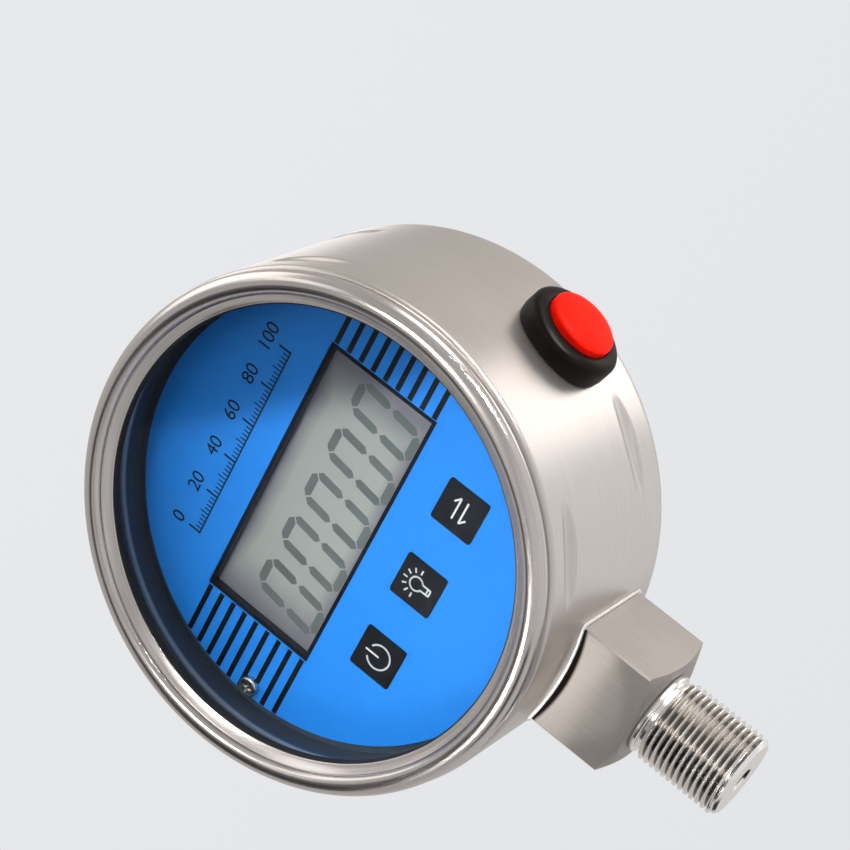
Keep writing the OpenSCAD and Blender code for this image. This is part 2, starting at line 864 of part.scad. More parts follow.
module button_nut() {
    color(bright) button_frame() translate([0, 0, nut_top - nut_t]) difference() {
        rotate([0, 0, 30]) cylinder(r = nut_flats / 2 / cos(30), h = nut_t, $fn = 6);
        translate([0, 0, -over]) cylinder(r = sleeve_r + seat, h = nut_t + 2 * over);
    }
}

module button_base() {
    color(black) button_frame() translate([0, 0, sleeve_low]) difference() {
        cylinder(r = pocket_r - seat, h = plug_t);
        for (y = [-1, 1]) translate([0, y * lug_off, plug_t / 2])
            cube([lug_w + 2 * seat, lug_t + 2 * seat, plug_t + 2 * over], center = true);
    }
}

module button_lugs() {
    color(brass) button_frame() for (y = [-1, 1])
        translate([-lug_w / 2, y * lug_off - lug_t / 2, lug_low])
            cube([lug_w, lug_t, lug_top - lug_low]);
}

// The flat lead runs in from the lugs and turns forward to the board
module button_lead() {
    low = lug_low + lug_out / 3;
    reach = button_depth - board_back - socket_h - 2 * seat;
    color([0.12, 0.12, 0.14]) button_frame() difference() {
        translate([0, lead_w / 2 + lug_t, 0]) rotate([90, 0, 0])
            linear_extrude(lead_w + 2 * lug_t) polygon(concat(
                [[lead_t, low]],
                [[lead_t, lug_low - lead_run]],
                arc(-lead_bend_r, lug_low - lead_run, lead_bend_r + lead_t, 0, -90),
                [[-reach, lead_x - lead_t], [-reach, lead_x]],
                arc(-lead_bend_r, lug_low - lead_run, lead_bend_r, -90, 0),
                [[0, low]]));
        translate([-lug_w, -lug_off - lug_t / 2 - seat, lug_low - seat])
            cube([2 * lug_w, 2 * (lug_off + lug_t / 2 + seat), lug_out]);
    }
}

// Domed cap with a skirt in the collar and a hub for the plunger
module button_cap() {
    r = cap_d / 2;
    steps = 2 * round_steps;
    color(red) button_frame() difference() {
        rotate_extrude() polygon(concat(
            [[0, cap_foot], [r, cap_foot]],
            [for (i = [0:steps]) let (a = 90 * i / steps)
                [r * pow(cos(a), 2 / dome_power), cap_side_top + dome_h * pow(sin(a), 2 / dome_power)]]));
        difference() {
            translate([0, 0, cap_foot - over]) cylinder(r = r - cap_wall, h = cap_under - cap_foot + over);
            translate([0, 0, cap_foot - 2 * over]) cylinder(r = hub_r, h = case_r);
        }
        translate([0, 0, cap_foot - over])
            cylinder(r = stem_r + seat / 2, h = cap_under - cap_foot + over);
    }
}

module button_plunger() {
    color([0.85, 0.85, 0.85]) button_frame() translate([0, 0, bridge_top - bridge_t])
        cylinder(r = stem_r, h = cap_under - seat - bridge_top + bridge_t);
}

module button_bridge() {
    color(brass) button_frame() translate([0, 0, bridge_top - bridge_t]) difference() {
        cylinder(r = bridge_r, h = bridge_t);
        translate([0, 0, -over]) cylinder(r = stem_r + seat / 2, h = bridge_t + 2 * over);
    }
}

// Drawn as long as it is when the cap is pressed, seated on the sleeve's web
module button_spring() {
    low = web_top + spring_wire / 2 + seat;
    high = cap_under - button_travel - spring_wire / 2 - seat;
    steps = 16 * spring_turns;
    color(bright) button_frame() translate([0, 0, low])
        polyhedron(coil_points(spring_r, spring_r, high - low, spring_turns, spring_wire, steps, 6),
            coil_faces(steps, 6));
}

case_shell();
bezel_ring();
window_gasket();
window_glass();
inner_housing();
dial_plate();
dial_screws();
display_frame();
display_glass();
display_backlight();
display_strips();
key_power();
key_light();
key_unit();
plunger_power();
plunger_light();
plunger_unit();
key_switches();
main_board();
board_parts();
board_pillars();
chassis_plate();
chassis_screws();
battery_holder();
battery_cells();
battery_contacts();
holder_screws();
connection_block();
weld_seam();
pressure_sensor();
sensor_seal();
sensor_ring();
sensor_ribbon();
button_collar();
button_washer();
button_nut();
button_base();
button_lugs();
button_lead();
button_cap();
button_plunger();
button_bridge();
button_spring();
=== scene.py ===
"""Looks of a digital pressure gauge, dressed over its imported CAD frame.

Sizes in the classes are millimetres. The dial faces -Y, the stud points down -Z, and the case's
axis lies along Y at the height Gauge.axis_z.
"""

import json
import logging
import math
from dataclasses import dataclass
from enum import Enum
from typing import Callable, Dict, Iterable, List, Optional, Sequence, Tuple, Union

import bmesh
import bpy
import numpy as np
from mathutils import Matrix, Vector


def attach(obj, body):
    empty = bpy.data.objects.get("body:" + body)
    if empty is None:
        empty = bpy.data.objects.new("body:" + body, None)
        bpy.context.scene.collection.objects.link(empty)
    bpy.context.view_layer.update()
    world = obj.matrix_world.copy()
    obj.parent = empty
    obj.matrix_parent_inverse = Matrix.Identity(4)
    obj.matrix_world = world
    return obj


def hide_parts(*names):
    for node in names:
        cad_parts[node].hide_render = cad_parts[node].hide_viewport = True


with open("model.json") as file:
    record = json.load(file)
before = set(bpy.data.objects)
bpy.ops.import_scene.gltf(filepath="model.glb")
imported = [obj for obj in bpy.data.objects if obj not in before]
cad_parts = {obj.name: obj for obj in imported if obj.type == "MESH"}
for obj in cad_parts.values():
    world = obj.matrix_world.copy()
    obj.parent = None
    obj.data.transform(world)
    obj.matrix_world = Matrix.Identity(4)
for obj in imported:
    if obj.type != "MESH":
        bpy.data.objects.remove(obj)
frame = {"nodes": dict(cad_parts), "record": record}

LOG = logging.getLogger("gauge")
MM = 0.001
# A noise runs from 0 to 1, but most of it lies between these two values.
NOISE_LOW, NOISE_HIGH = 0.3, 0.7
MATH = "ShaderNodeMath"
SMOOTH = {"interpolation_type": "SMOOTHSTEP"}
SLOTS: Dict[str, str] = {s["node"]: s["material_slot"] for s in frame["record"]["subparts"]}

Point = Tuple[float, float]
Vec3 = Tuple[float, float, float]
Node = bpy.types.Node
Mesh = bpy.types.Mesh
Piece = bpy.types.Object
Material = bpy.types.Material
Link = Union[Node, Tuple[Node, str]]
Spot = Callable[[float, float, float], Vec3]


class Body(Enum):
    """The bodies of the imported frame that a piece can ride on."""

    GAUGE = "gauge"
    BUTTON = "button"
    KEY_POWER = "key_power"
    KEY_LIGHT = "key_light"
    KEY_UNIT = "key_unit"


class Lay(Enum):
    """How the fine lines of a brushed or turned metal run."""

    ROUND_CASE = "round_case"
    ROUND_STUD = "round_stud"
    ALONG_Z = "along_z"


# Meshes and objects


def linked(name: str, data: bpy.types.ID) -> Piece:
    """Makes an object and links it.

    Args:
        name: object's name.
        data: its mesh, text, lamp or camera.

    Returns:
        The object.
    """
    obj = bpy.data.objects.new(name, data)
    bpy.context.collection.objects.link(obj)
    return obj


def tidy_mesh(mesh: Mesh, smooth: float = 30.0) -> None:
    """Merges doubles, turns the normals outwards and sets the shading.

    Args:
        mesh: mesh to mend.
        smooth: largest angle between faces that are shaded as one, in degrees.
    """
    bm = bmesh.new()
    bm.from_mesh(mesh)
    bmesh.ops.remove_doubles(bm, verts=bm.verts, dist=1e-7)
    bmesh.ops.dissolve_degenerate(bm, edges=bm.edges, dist=1e-8)
    bmesh.ops.recalc_face_normals(bm, faces=bm.faces)
    bm.to_mesh(mesh)
    bm.free()
    mesh.shade_smooth()
    mesh.set_sharp_from_angle(angle=math.radians(smooth))


def mesh_object(name: str, mesh: Mesh, smooth: float = 30.0) -> Piece:
    """Tidies a mesh and makes its object."""
    tidy_mesh(mesh, smooth)
    return linked(name, mesh)


def new_object(name: str, verts: Iterable[Sequence[float]], faces: Iterable[Sequence[int]],
               smooth: float = 30.0) -> Piece:
    """Makes a mesh object from points in millimetres.

    Args:
        name: object's name.
        verts: points in millimetres, in the row frame.
        faces: lists of point numbers.
        smooth: largest angle between faces that are shaded as one, in degrees.

    Returns:
        The object, with doubles merged and normals outwards.
    """
    mesh = bpy.data.meshes.new(name)
    mesh.from_pydata([tuple(float(c) * MM for c in v) for v in verts], [],
                     [list(map(int, f)) for f in faces])
    return mesh_object(name, mesh, smooth)


def plain_mesh(obj: Piece) -> Mesh:
    """Turns an object with its modifiers, or a text, into a plain mesh."""
    graph = bpy.context.evaluated_depsgraph_get()
    return bpy.data.meshes.new_from_object(obj.evaluated_get(graph), depsgraph=graph)


def cut_away(obj: Piece, tool: Piece, smooth: float) -> None:
    """Cuts a tool's shape out of a piece and drops the tool.

    Args:
        obj: piece that is cut.
        tool: closed object.
        smooth: largest angle between faces that are shaded as one, in degrees.
    """
    cut = obj.modifiers.new("cut", "BOOLEAN")
    cut.operation, cut.object, cut.solver = "DIFFERENCE", tool, "EXACT"
    mesh = plain_mesh(obj)
    obj.modifiers.clear()
    obj.data = mesh
    bpy.data.objects.remove(tool)
    tidy_mesh(mesh, smooth)


def place(obj: Piece, material: Material, body: Body, *nodes: str) -> None:
    """Dresses a piece, seats it on its body and lets it stand for CAD nodes.

    Args:
        obj: finished piece.
        material: its finish.
        body: body that it rides on.
        nodes: CAD nodes that it replaces.
    """
    obj.data.materials.clear()
    obj.data.materials.append(material)
    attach(obj, body.value)
    if nodes:
        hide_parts(*nodes)
    LOG.info("%s: %d faces on %s", obj.name, len(obj.data.polygons), body.value)


# Outlines and turned shapes


def arc(cx: float, cy: float, r: float, a0: float, a1: float, n: int = 12) -> List[Point]:
    """Points of a circle's arc.

    Args:
        cx: first coordinate of the middle.
        cy: second coordinate of the middle.
        r: radius.
        a0: first angle, in degrees.
        a1: last angle, in degrees.
        n: steps.

    Returns:
        One point more than there are steps.
    """
    turns = [math.radians(a0 + (a1 - a0) * i / n) for i in range(n + 1)]
    return [(cx + r * math.cos(a), cy + r * math.sin(a)) for a in turns]


def box(left: float, low: float, right: float, high: float) -> List[Point]:
    """The corners of an upright rectangle."""
    return [(left, low), (right, low), (right, high), (left, high)]


def spread(points: Sequence[Point], step: float) -> List[Point]:
    """Adds points along the straight runs of a closed outline.

    Args:
        points: outline.
        step: longest run that stays.

    Returns:
        The outline with its new points.
    """
    out: List[Point] = []
    for (x0, y0), (x1, y1) in zip(points, list(points[1:]) + [points[0]]):
        n = max(1, math.ceil(math.hypot(x1 - x0, y1 - y0) / step))
        out += [(x0 + (x1 - x0) * i / n, y0 + (y1 - y0) * i / n) for i in range(n)]
    return out


def lathe_faces(rows: int, columns: int) -> List[Tuple[int, int, int, int]]:
    """Faces of a closed outline turned right round.

    Args:
        rows: points of the outline.
        columns: points round.

    Returns:
        Point numbers of each face.
    """
    return [(i * columns + j, i * columns + (j + 1) % columns,
             (i + 1) % rows * columns + (j + 1) % columns, (i + 1) % rows * columns + j)
            for i in range(rows) for j in range(columns)]


def turned(name: str, spot: Spot, outline: Sequence[Point], columns: int) -> Piece:
    """Turns a closed outline of (radius, height) round an axis.

    Args:
        name: object's name.
        spot: gives the point at a radius, an angle and a height.
        outline: closed outline, in order.
        columns: points round.

    Returns:
        The object.
    """
    verts = [spot(r, 2 * math.pi * k / columns, h) for r, h in outline for k in range(columns)]
    return new_object(name, verts, lathe_faces(len(outline), columns), smooth=32)


def round_bar(name: str, spot: Spot, r: float, low: float, high: float, sides: int) -> Piece:
    """Makes a plain round bar, used as a cutter.

    Args:
        name: object's name.
        spot: gives the point at a radius, an angle and a height.
        r: radius.
        low: height of its lower end.
        high: height of its upper end.
        sides: points round.

    Returns:
        The object.
    """
    verts = [spot(r, 2 * math.pi * k / sides, h) for h in (low, high) for k in range(sides)]
    walls = [(k, (k + 1) % sides, sides + (k + 1) % sides, sides + k) for k in range(sides)]
    return new_object(name, verts, [range(sides), range(sides, 2 * sides), *walls])


# Node trees


def linear(code: str) -> Tuple[float, float, float, float]:
    """Turns an sRGB hex colour, such as "#3A98F5", into linear red, green, blue and a full alpha."""
    parts = [int(code.lstrip("#")[i:i + 2], 16) / 255 for i in (0, 2, 4)]
    return (*(c / 12.92 if c <= 0.04045 else ((c + 0.055) / 1.055) ** 2.4 for c in parts), 1.0)


def ends(ramp: Node, low: str, high: str, start: float = 0.0, end: float = 1.0) -> Node:
    """Sets the two ends of a colour ramp.

    Args:
        ramp: the ramp's node.
        low: colour of its first end.
        high: colour of its last end.
        start: place of the first end.
        end: place of the last end.

    Returns:
        The same node.
    """
    for element, code, position in zip(ramp.color_ramp.elements, (low, high), (start, end)):
        element.position = position
        element.color = linear(code)
    return ramp


@dataclass
class Nodes:
    """A node tree that is being built."""

    tree: bpy.types.NodeTree

    @classmethod
    def fresh(cls, owner: bpy.types.ID) -> "Nodes":
        """Empties the tree of a material or a world.

        Args:
            owner: material or world.

        Returns:
            Its nodes.
        """
        owner.use_nodes = True
        owner.node_tree.nodes.clear()
        return cls(owner.node_tree)

    def add(self, kind: str, settings: Union[str, dict, None] = None, *inputs: object,
            **named: object) -> Node:
        """Adds a node with its settings, values and links.

        An input is a value, a node whose first output is meant, or a pair of node and output name.

        Args:
            kind: type of the node.
            settings: properties of the node itself, or its operation alone.
            inputs: inputs by place.
            named: inputs by name, with spaces as underscores, or as i7 by place.

        Returns:
            The new node.
        """
        node = self.tree.nodes.new(kind)
        if isinstance(settings, str):
            settings = {"operation": settings}
        for name, value in (settings or {}).items():
            setattr(node, name, value)
        pairs = list(enumerate(inputs))
        for name, value in named.items():
            pairs.append((int(name[1:]) if name[1:].isdigit() else name.replace("_", " "), value))
        for key, value in pairs:
            source = (value, 0) if isinstance(value, Node) else value
            if isinstance(source, tuple) and isinstance(source[0], Node):
                self.tree.links.new(source[0].outputs[source[1]], node.inputs[key])
            else:
                node.inputs[key].default_value = value
        return node

    def places(self) -> Tuple[Link, Link, Link, Link]:
        """Reads where a point is on its piece.

        Returns:
            The Object coordinates, and then their X, Y and Z.
        """
        point = (self.add("ShaderNodeTexCoord"), "Object")
        parts = self.add("ShaderNodeSeparateXYZ", None, point)
        return point, (parts, "X"), (parts, "Y"), (parts, "Z")

    def from_axis(self, a: Link, b: Link) -> Link:
        """Distance from an axis, from the two coordinates across it."""
        flat = self.add("ShaderNodeCombineXYZ", None, a, b)
        return self.add("ShaderNodeVectorMath", "LENGTH", flat), "Value"


@dataclass
class Skin(Nodes):
    """A material that is being built round its Principled shader."""

    bsdf: Node

    def tint(self, pattern: Link, low: str, high: str, start: float = NOISE_LOW,
             end: float = NOISE_HIGH) -> None:
        """Drives the colour by a pattern.

        Args:
            pattern: values that run about from 0 to 1.
            low: colour up to the start.
            high: colour from the end on.
            start: value at which the colour begins to change.
            end: value at which it has changed.
        """
        ramp = ends(self.add("ShaderNodeValToRGB", None, pattern), low, high, start, end)
        self.tree.links.new(ramp.outputs["Color"], self.bsdf.inputs["Base Color"])

    def rough(self, pattern: Link, low: float, high: float) -> None:
        """Drives the roughness by a pattern.

        Args:
            pattern: a noise.
            low: roughness where the noise is low.
            high: roughness where it is high.
        """
        span = self.add("ShaderNodeMapRange", None, pattern, From_Min=NOISE_LOW, From_Max=NOISE_HIGH,
                        To_Min=low, To_Max=high)
        self.tree.links.new(span.outputs["Result"], self.bsdf.inputs["Roughness"])

    def bump(self, pattern: Link, depth_mm: float) -> None:
        """Adds a bump of a real depth."""
        node = self.add("ShaderNodeBump", None, Height=pattern, Distance=depth_mm * MM, Strength=1.0)
        self.tree.links.new(node.outputs["Normal"], self.bsdf.inputs["Normal"])

    def over(self, amount: Link, code: str) -> None:
        """Lays a colour over the base colour.

        Args:
            amount: how much it covers, from 0 to 1.
            code: the colour.
        """
        base = self.bsdf.inputs["Base Color"].links[0].from_socket
        mix = self.add("ShaderNodeMix", {"data_type": "RGBA"}, Factor=amount, i7=linear(code))
        self.tree.links.new(base, mix.inputs[6])
        self.tree.links.new(mix.outputs[2], self.bsdf.inputs["Base Color"])


class Rule(Nodes):
    """A Geometry Nodes tree with named inputs."""

    def __init__(self, name: str) -> None:
        """Starts a tree that takes in a geometry and gives one.

        Args:
            name: tree's name.
        """
        super().__init__(bpy.data.node_groups.new(name, "GeometryNodeTree"))
        for way in ("INPUT", "OUTPUT"):
            self.tree.interface.new_socket("Geometry", in_out=way, socket_type="NodeSocketGeometry")
        self.start = self.add("NodeGroupInput")
        self.values: Dict[str, float] = {}

    def size(self, name: str, value: float) -> Link:
        """Adds a named input.

        Args:
            name: its name.
            value: its value; a whole number makes a whole input.

        Returns:
            The input's link.
        """
        kind = "NodeSocketInt" if isinstance(value, int) else "NodeSocketFloat"
        self.tree.interface.new_socket(name, in_out="INPUT", socket_type=kind)
        self.values[name] = value
        return self.start, name

    def run(self, last: Link, material: Material, source: Optional[Piece] = None) -> Mesh:
        """Ends the tree, evaluates it once and drops it.

        Args:
            last: geometry that the tree gives.
            material: material of that geometry.
            source: object whose mesh the tree starts from, if any, which is used up.

        Returns:
            The plain mesh.
        """
        real = self.add("GeometryNodeRealizeInstances", None, last)
        self.add("NodeGroupOutput", None, self.add("GeometryNodeSetMaterial", None, real, Material=material))
        name = self.tree.name
        holder = source or linked(name, bpy.data.meshes.new(name))
        modifier = holder.modifiers.new(name, "NODES")
        modifier.node_group = self.tree
        for item in self.tree.interface.items_tree:
            if item.in_out == "INPUT" and item.name in self.values:
                modifier[item.identifier] = self.values[item.name]
        mesh = plain_mesh(holder)
        mesh.name = name
        bpy.data.objects.remove(holder)
        bpy.data.node_groups.remove(self.tree)
        return mesh


class SmoothCad(Rule):
    """Gives the CAD's loose triangles smooth shading where faces meet at a small angle."""

    def __init__(self, angle: float = 28.0) -> None:
        """Builds the tree that all the CAD nodes share.

        Args:
            angle: largest angle between faces that are shaded as one, in degrees.
        """
        super().__init__("smooth_cad")
        merged = self.add("GeometryNodeMergeByDistance", None, self.start, Distance=1e-6)
        faces = self.add("GeometryNodeSetShadeSmooth", {"domain": "FACE"}, merged)
        sharp = self.add("FunctionNodeCompare", {"data_type": "FLOAT", "operation": "GREATER_THAN"},
                         self.add("GeometryNodeInputMeshEdgeAngle"), math.radians(angle))
        edges = self.add("GeometryNodeSetShadeSmooth", {"domain": "EDGE"}, faces, Selection=sharp,
                         Shade_Smooth=False)
        self.add("NodeGroupOutput", None, edges)

    def on(self, node: str, material: Material) -> None:
        """Dresses a CAD node.

        Args:
            node: node's name.
            material: its finish.
        """
        obj = frame["nodes"][node]
        obj.data.materials.clear()
        obj.data.materials.append(material)
        obj.modifiers.new("smooth", "NODES").node_group = self.tree


# Finishes


@dataclass(frozen=True)
class Finish:
    """A surface finish; subclasses add what shows beyond its plain colour."""

    name: str
    color: str
    roughness: float = 0.5
    metallic: float = 0.0

    def make(self) -> Material:
        """Builds the material.

        Returns:
            The material.
        """
        material = bpy.data.materials.new(self.name)
        material.diffuse_color = linear(self.color)
        nodes = Nodes.fresh(material)
        bsdf = nodes.add("ShaderNodeBsdfPrincipled", None, linear(self.color), Roughness=self.roughness,
                         Metallic=self.metallic)
        skin = Skin(nodes.tree, bsdf)
        self.dress(skin)
        nodes.add("ShaderNodeOutputMaterial", None, self.surface(skin))
        return material

    def dress(self, skin: Skin) -> None:
        """Adds colour, roughness and bump."""

    def surface(self, skin: Skin) -> Link:
        """What the material shows, which is the shader alone unless a subclass mixes it."""
        return skin.bsdf


@dataclass(frozen=True)
class WorkedSteel(Finish):
    """Stainless steel, or another metal worked as it is, whose grain lines follow the tool.

    Belt or lathe marks are about 0.02 mm apart. They are drawn 0.2 mm apart or so, to show.
    """

    metallic: float = 1.0
    lay: Lay = Lay.ROUND_CASE
    low: str = "#A09A95"
    high: str = "#CFCAC6"
    line_mm: float = 0.25
    reach_mm: float = 18.0
    depth_mm: float = 0.004
    rough_low: float = 0.24
    rough_high: float = 0.4
    cloud_mm: float = 22.0
    cloud_share: float = 0.35

    def lines(self, skin: Skin) -> Link:
        """Stretches a noise along the tool's path.

        Args:
            skin: material's nodes.

        Returns:
            The noise, from 0 to 1.
        """
        _, x, y, z = skin.places()
        across, along = 1 / (self.line_mm * MM), 1 / (self.reach_mm * MM)
        if self.lay is Lay.ALONG_Z:
            parts = ((x, across), (y, across), (z, along))
        else:
            second, depth = y, z
            if self.lay is Lay.ROUND_CASE:
                second, depth = skin.add(MATH, "SUBTRACT", z, Gauge.axis_z * MM), y
            fine = skin.add(MATH, "ADD", skin.from_axis(x, second), depth)
            parts = ((x, along), (second, along), (fine, across))
        scaled = [skin.add(MATH, "MULTIPLY", part, rate) for part, rate in parts]
        vector = skin.add("ShaderNodeCombineXYZ", None, *scaled)
        return skin.add("ShaderNodeTexNoise", None, vector, Scale=1.0, Detail=3.0, Roughness=0.6)

    def dress(self, skin: Skin) -> None:
        """Lines in colour, roughness and bump, under soft clouds of handling.

        Args:
            skin: material's nodes.
        """
        lines = self.lines(skin)
        point = (skin.add("ShaderNodeTexCoord"), "Object")
        cloud = skin.add("ShaderNodeTexNoise", None, point, Scale=1 / (self.cloud_mm * MM), Detail=2.0)
        both = skin.add("ShaderNodeMix", {"data_type": "FLOAT"}, Factor=self.cloud_share, A=lines, B=cloud)
        skin.tint(both, self.low, self.high)
        skin.rough(both, self.rough_low, self.rough_high)
        skin.bump(lines, self.depth_mm)


@dataclass(frozen=True)
class CornerShadedSteel(WorkedSteel):
    """Steel with a painted shade in the narrow corner where the block's front face runs in under the case.

    The painted shade is a crescent: it reaches furthest from the case's skin at the middle of the face. Full
    shade ends and the shade fades out at two distances from the skin, and it is kept in front of a
    plane and outside a line that may lean.
    """

    # Colour of the painted shade in the corner under the case.
    painted_corner_shade: str = "#15110E"
    full: float = 1.6
    reach: float = 2.5
    start: float = 0.0
    slant: float = 0.0
    narrowing_per_m: float = 4.5
    front: float = -12.8

    def dress(self, skin: Skin) -> None:
        """As worked steel, with the painted shade in the crescent.

        Args:
            skin: material's nodes.
        """
        super().dress(skin)
        _, x, y, z = skin.places()
        radius = skin.from_axis(x, skin.add(MATH, "SUBTRACT", z, Gauge.axis_z * MM))
        bend = skin.add(MATH, "MULTIPLY_ADD", skin.add(MATH, "MULTIPLY", x, x), self.narrowing_per_m, radius)
        near = skin.add("ShaderNodeMapRange", SMOOTH, bend, From_Min=(Gauge.case_r + self.reach) * MM,
                        From_Max=(Gauge.case_r + self.full) * MM)
        lean = skin.add(MATH, "MULTIPLY_ADD", x, -self.slant, radius)
        off = skin.add(MATH, "GREATER_THAN", lean, (Gauge.case_r + self.start) * MM)
        ahead = skin.add(MATH, "LESS_THAN", y, self.front * MM)
        band = skin.add(MATH, "MULTIPLY", near, ahead)
        # Lays the painted shade over the steel in the crescent.
        skin.over(skin.add(MATH, "MULTIPLY", band, off), self.painted_corner_shade)


@dataclass(frozen=True)
class CutThread(WorkedSteel):
    """Bright turned steel with a painted shade in the roots of its thread."""

    # Colour of the painted shade in the thread's roots.
    root: str = "#6B645D"
    root_r: float = 9.1
    crest_r: float = 9.32
    unshaded_end: float = 0.6

    def dress(self, skin: Skin) -> None:
        """As worked steel, with the painted shade near the root's radius.

        Args:
            skin: material's nodes.
        """
        super().dress(skin)
        _, x, y, z = skin.places()
        deep = skin.add("ShaderNodeMapRange", SMOOTH, skin.from_axis(x, y), From_Min=self.crest_r * MM,
                        From_Max=self.root_r * MM)
        below = skin.add(MATH, "LESS_THAN", z, (Connection.length - self.unshaded_end) * MM)
        above = skin.add(MATH, "GREATER_THAN", z, 0.0)
        # Lays the painted shade over the roots along most of the thread.
        cut = skin.add(MATH, "MULTIPLY", deep, below)
        skin.over(skin.add(MATH, "MULTIPLY", cut, above), self.root)


@dataclass(frozen=True)
class Moulded(Finish):
    """Moulded plastic or rubber: a fine eroded grain of about 0.3 mm gives a broken sheen."""

    grain_mm: float = 0.3
    mottle_grains: float = 12.0
    depth_mm: float = 0.01
    low: str = ""
    rough_spread: float = 0.08
    gloss: float = 0.5

    def dress(self, skin: Skin) -> None:
        """Grain in the bump, and a slower mottle in colour and roughness.

        Args:
            skin: material's nodes.
        """
        skin.bsdf.inputs["Specular IOR Level"].default_value = self.gloss
        point, grain_m = (skin.add("ShaderNodeTexCoord"), "Object"), self.grain_mm * MM
        grain = skin.add("ShaderNodeTexNoise", None, point, Scale=1 / grain_m, Detail=2.0)
        slow = 1 / (self.mottle_grains * grain_m)
        mottle = skin.add("ShaderNodeTexNoise", None, point, Scale=slow, Detail=3.0)
        if self.low:
            skin.tint(mottle, self.low, self.color)
        skin.rough(mottle, self.roughness - self.rough_spread, self.roughness + self.rough_spread)
        skin.bump(grain, self.depth_mm)


@dataclass(frozen=True)
class WellPlastic(Moulded):
    """Moulded wall with a painted highlight along its rounded step."""

    painted_highlight: str = "#9AA4B0"
    half: float = 1.1

    def dress(self, skin: Skin) -> None:
        """As moulded, with the painted highlight about the step's depth.

        Args:
            skin: material's nodes.
        """
        super().dress(skin)
        y = skin.places()[2]
        # Lays the painted highlight in a band about the step's depth.
        away = skin.add(MATH, "SUBTRACT", y, (Gauge.lip_y + Well.step_depth + Well.step) * MM)
        skin.over(skin.add("ShaderNodeMapRange", SMOOTH, skin.add(MATH, "ABSOLUTE", away),
                           From_Min=self.half * MM, From_Max=0.0), self.painted_highlight)


@dataclass(frozen=True)
class DialPaint(Moulded):
    """Screen-printed polyester film on a metal dial: smooth, with a faint orange peel."""

    coat: float = 0.15
    coat_rough: float = 0.15

    def dress(self, skin: Skin) -> None:
        """As moulded, with a clear coat.

        Args:
            skin: material's nodes.
        """
        super().dress(skin)
        skin.bsdf.inputs["Coat Weight"].default_value = self.coat
        skin.bsdf.inputs["Coat Roughness"].default_value = self.coat_rough


@dataclass(frozen=True)
class ClearGlass(Finish):
    """Float glass: clear, polished, with a faint smear of handling in its roughness."""

    ior: float = 1.5
    smears_per_m: float = 60.0
    passed: str = "#FCFDFD"

    def dress(self, skin: Skin) -> None:
        """Clear, with a smear.

        Args:
            skin: material's nodes.
        """
        skin.bsdf.inputs["Transmission Weight"].default_value = 1.0
        skin.bsdf.inputs["IOR"].default_value = self.ior
        point = (skin.add("ShaderNodeTexCoord"), "Object")
        smear = skin.add("ShaderNodeTexNoise", None, point, Scale=self.smears_per_m, Detail=4.0)
        skin.rough(smear, 0.0, self.roughness)

    def surface(self, skin: Skin) -> Link:
        """Lets the light through to what lies behind the glass.

        Args:
            skin: material's nodes.

        Returns:
            The glass, or a clear sheet where a lamp's light passes.
        """
        shadow = (skin.add("ShaderNodeLightPath"), "Is Shadow Ray")
        clear = skin.add("ShaderNodeBsdfTransparent", None, linear(self.passed))
        return skin.add("ShaderNodeMixShader", None, shadow, skin.bsdf, clear)


@dataclass(frozen=True)
class CrystalPanel(Finish):
    """Reflective liquid crystal panel: grey-green, a little mauve towards its edges."""

    edge: str = "#7C7980"
    edge_start_share: float = 0.75
    edge_end_share: float = 1.08
    speckles_per_m: float = 90.0
    speckle_share: float = 0.2
    depth_mm: float = 0.004

    def dress(self, skin: Skin) -> None:
        """Colour from the distance to the display's middle, broken by a speckle.

        Args:
            skin: material's nodes.
        """
        point, x, _, z = skin.places()
        up = skin.add(MATH, "SUBTRACT", z, (Gauge.axis_z + Dial.display_up) * MM)
        wide, tall = (skin.add(MATH, "DIVIDE", skin.add(MATH, "ABSOLUTE", way), size / 2 * MM)
                      for way, size in ((x, Dial.display_w), (up, Dial.display_h)))
        most = skin.add(MATH, "MAXIMUM", wide, tall)
        speckle = skin.add("ShaderNodeTexNoise", None, point, Scale=self.speckles_per_m, Detail=3.0)
        shift = skin.add(MATH, "MULTIPLY_ADD", speckle, self.speckle_share, most)
        skin.tint(shift, self.color, self.edge, self.edge_start_share, self.edge_end_share)
        skin.bump(speckle, self.depth_mm)


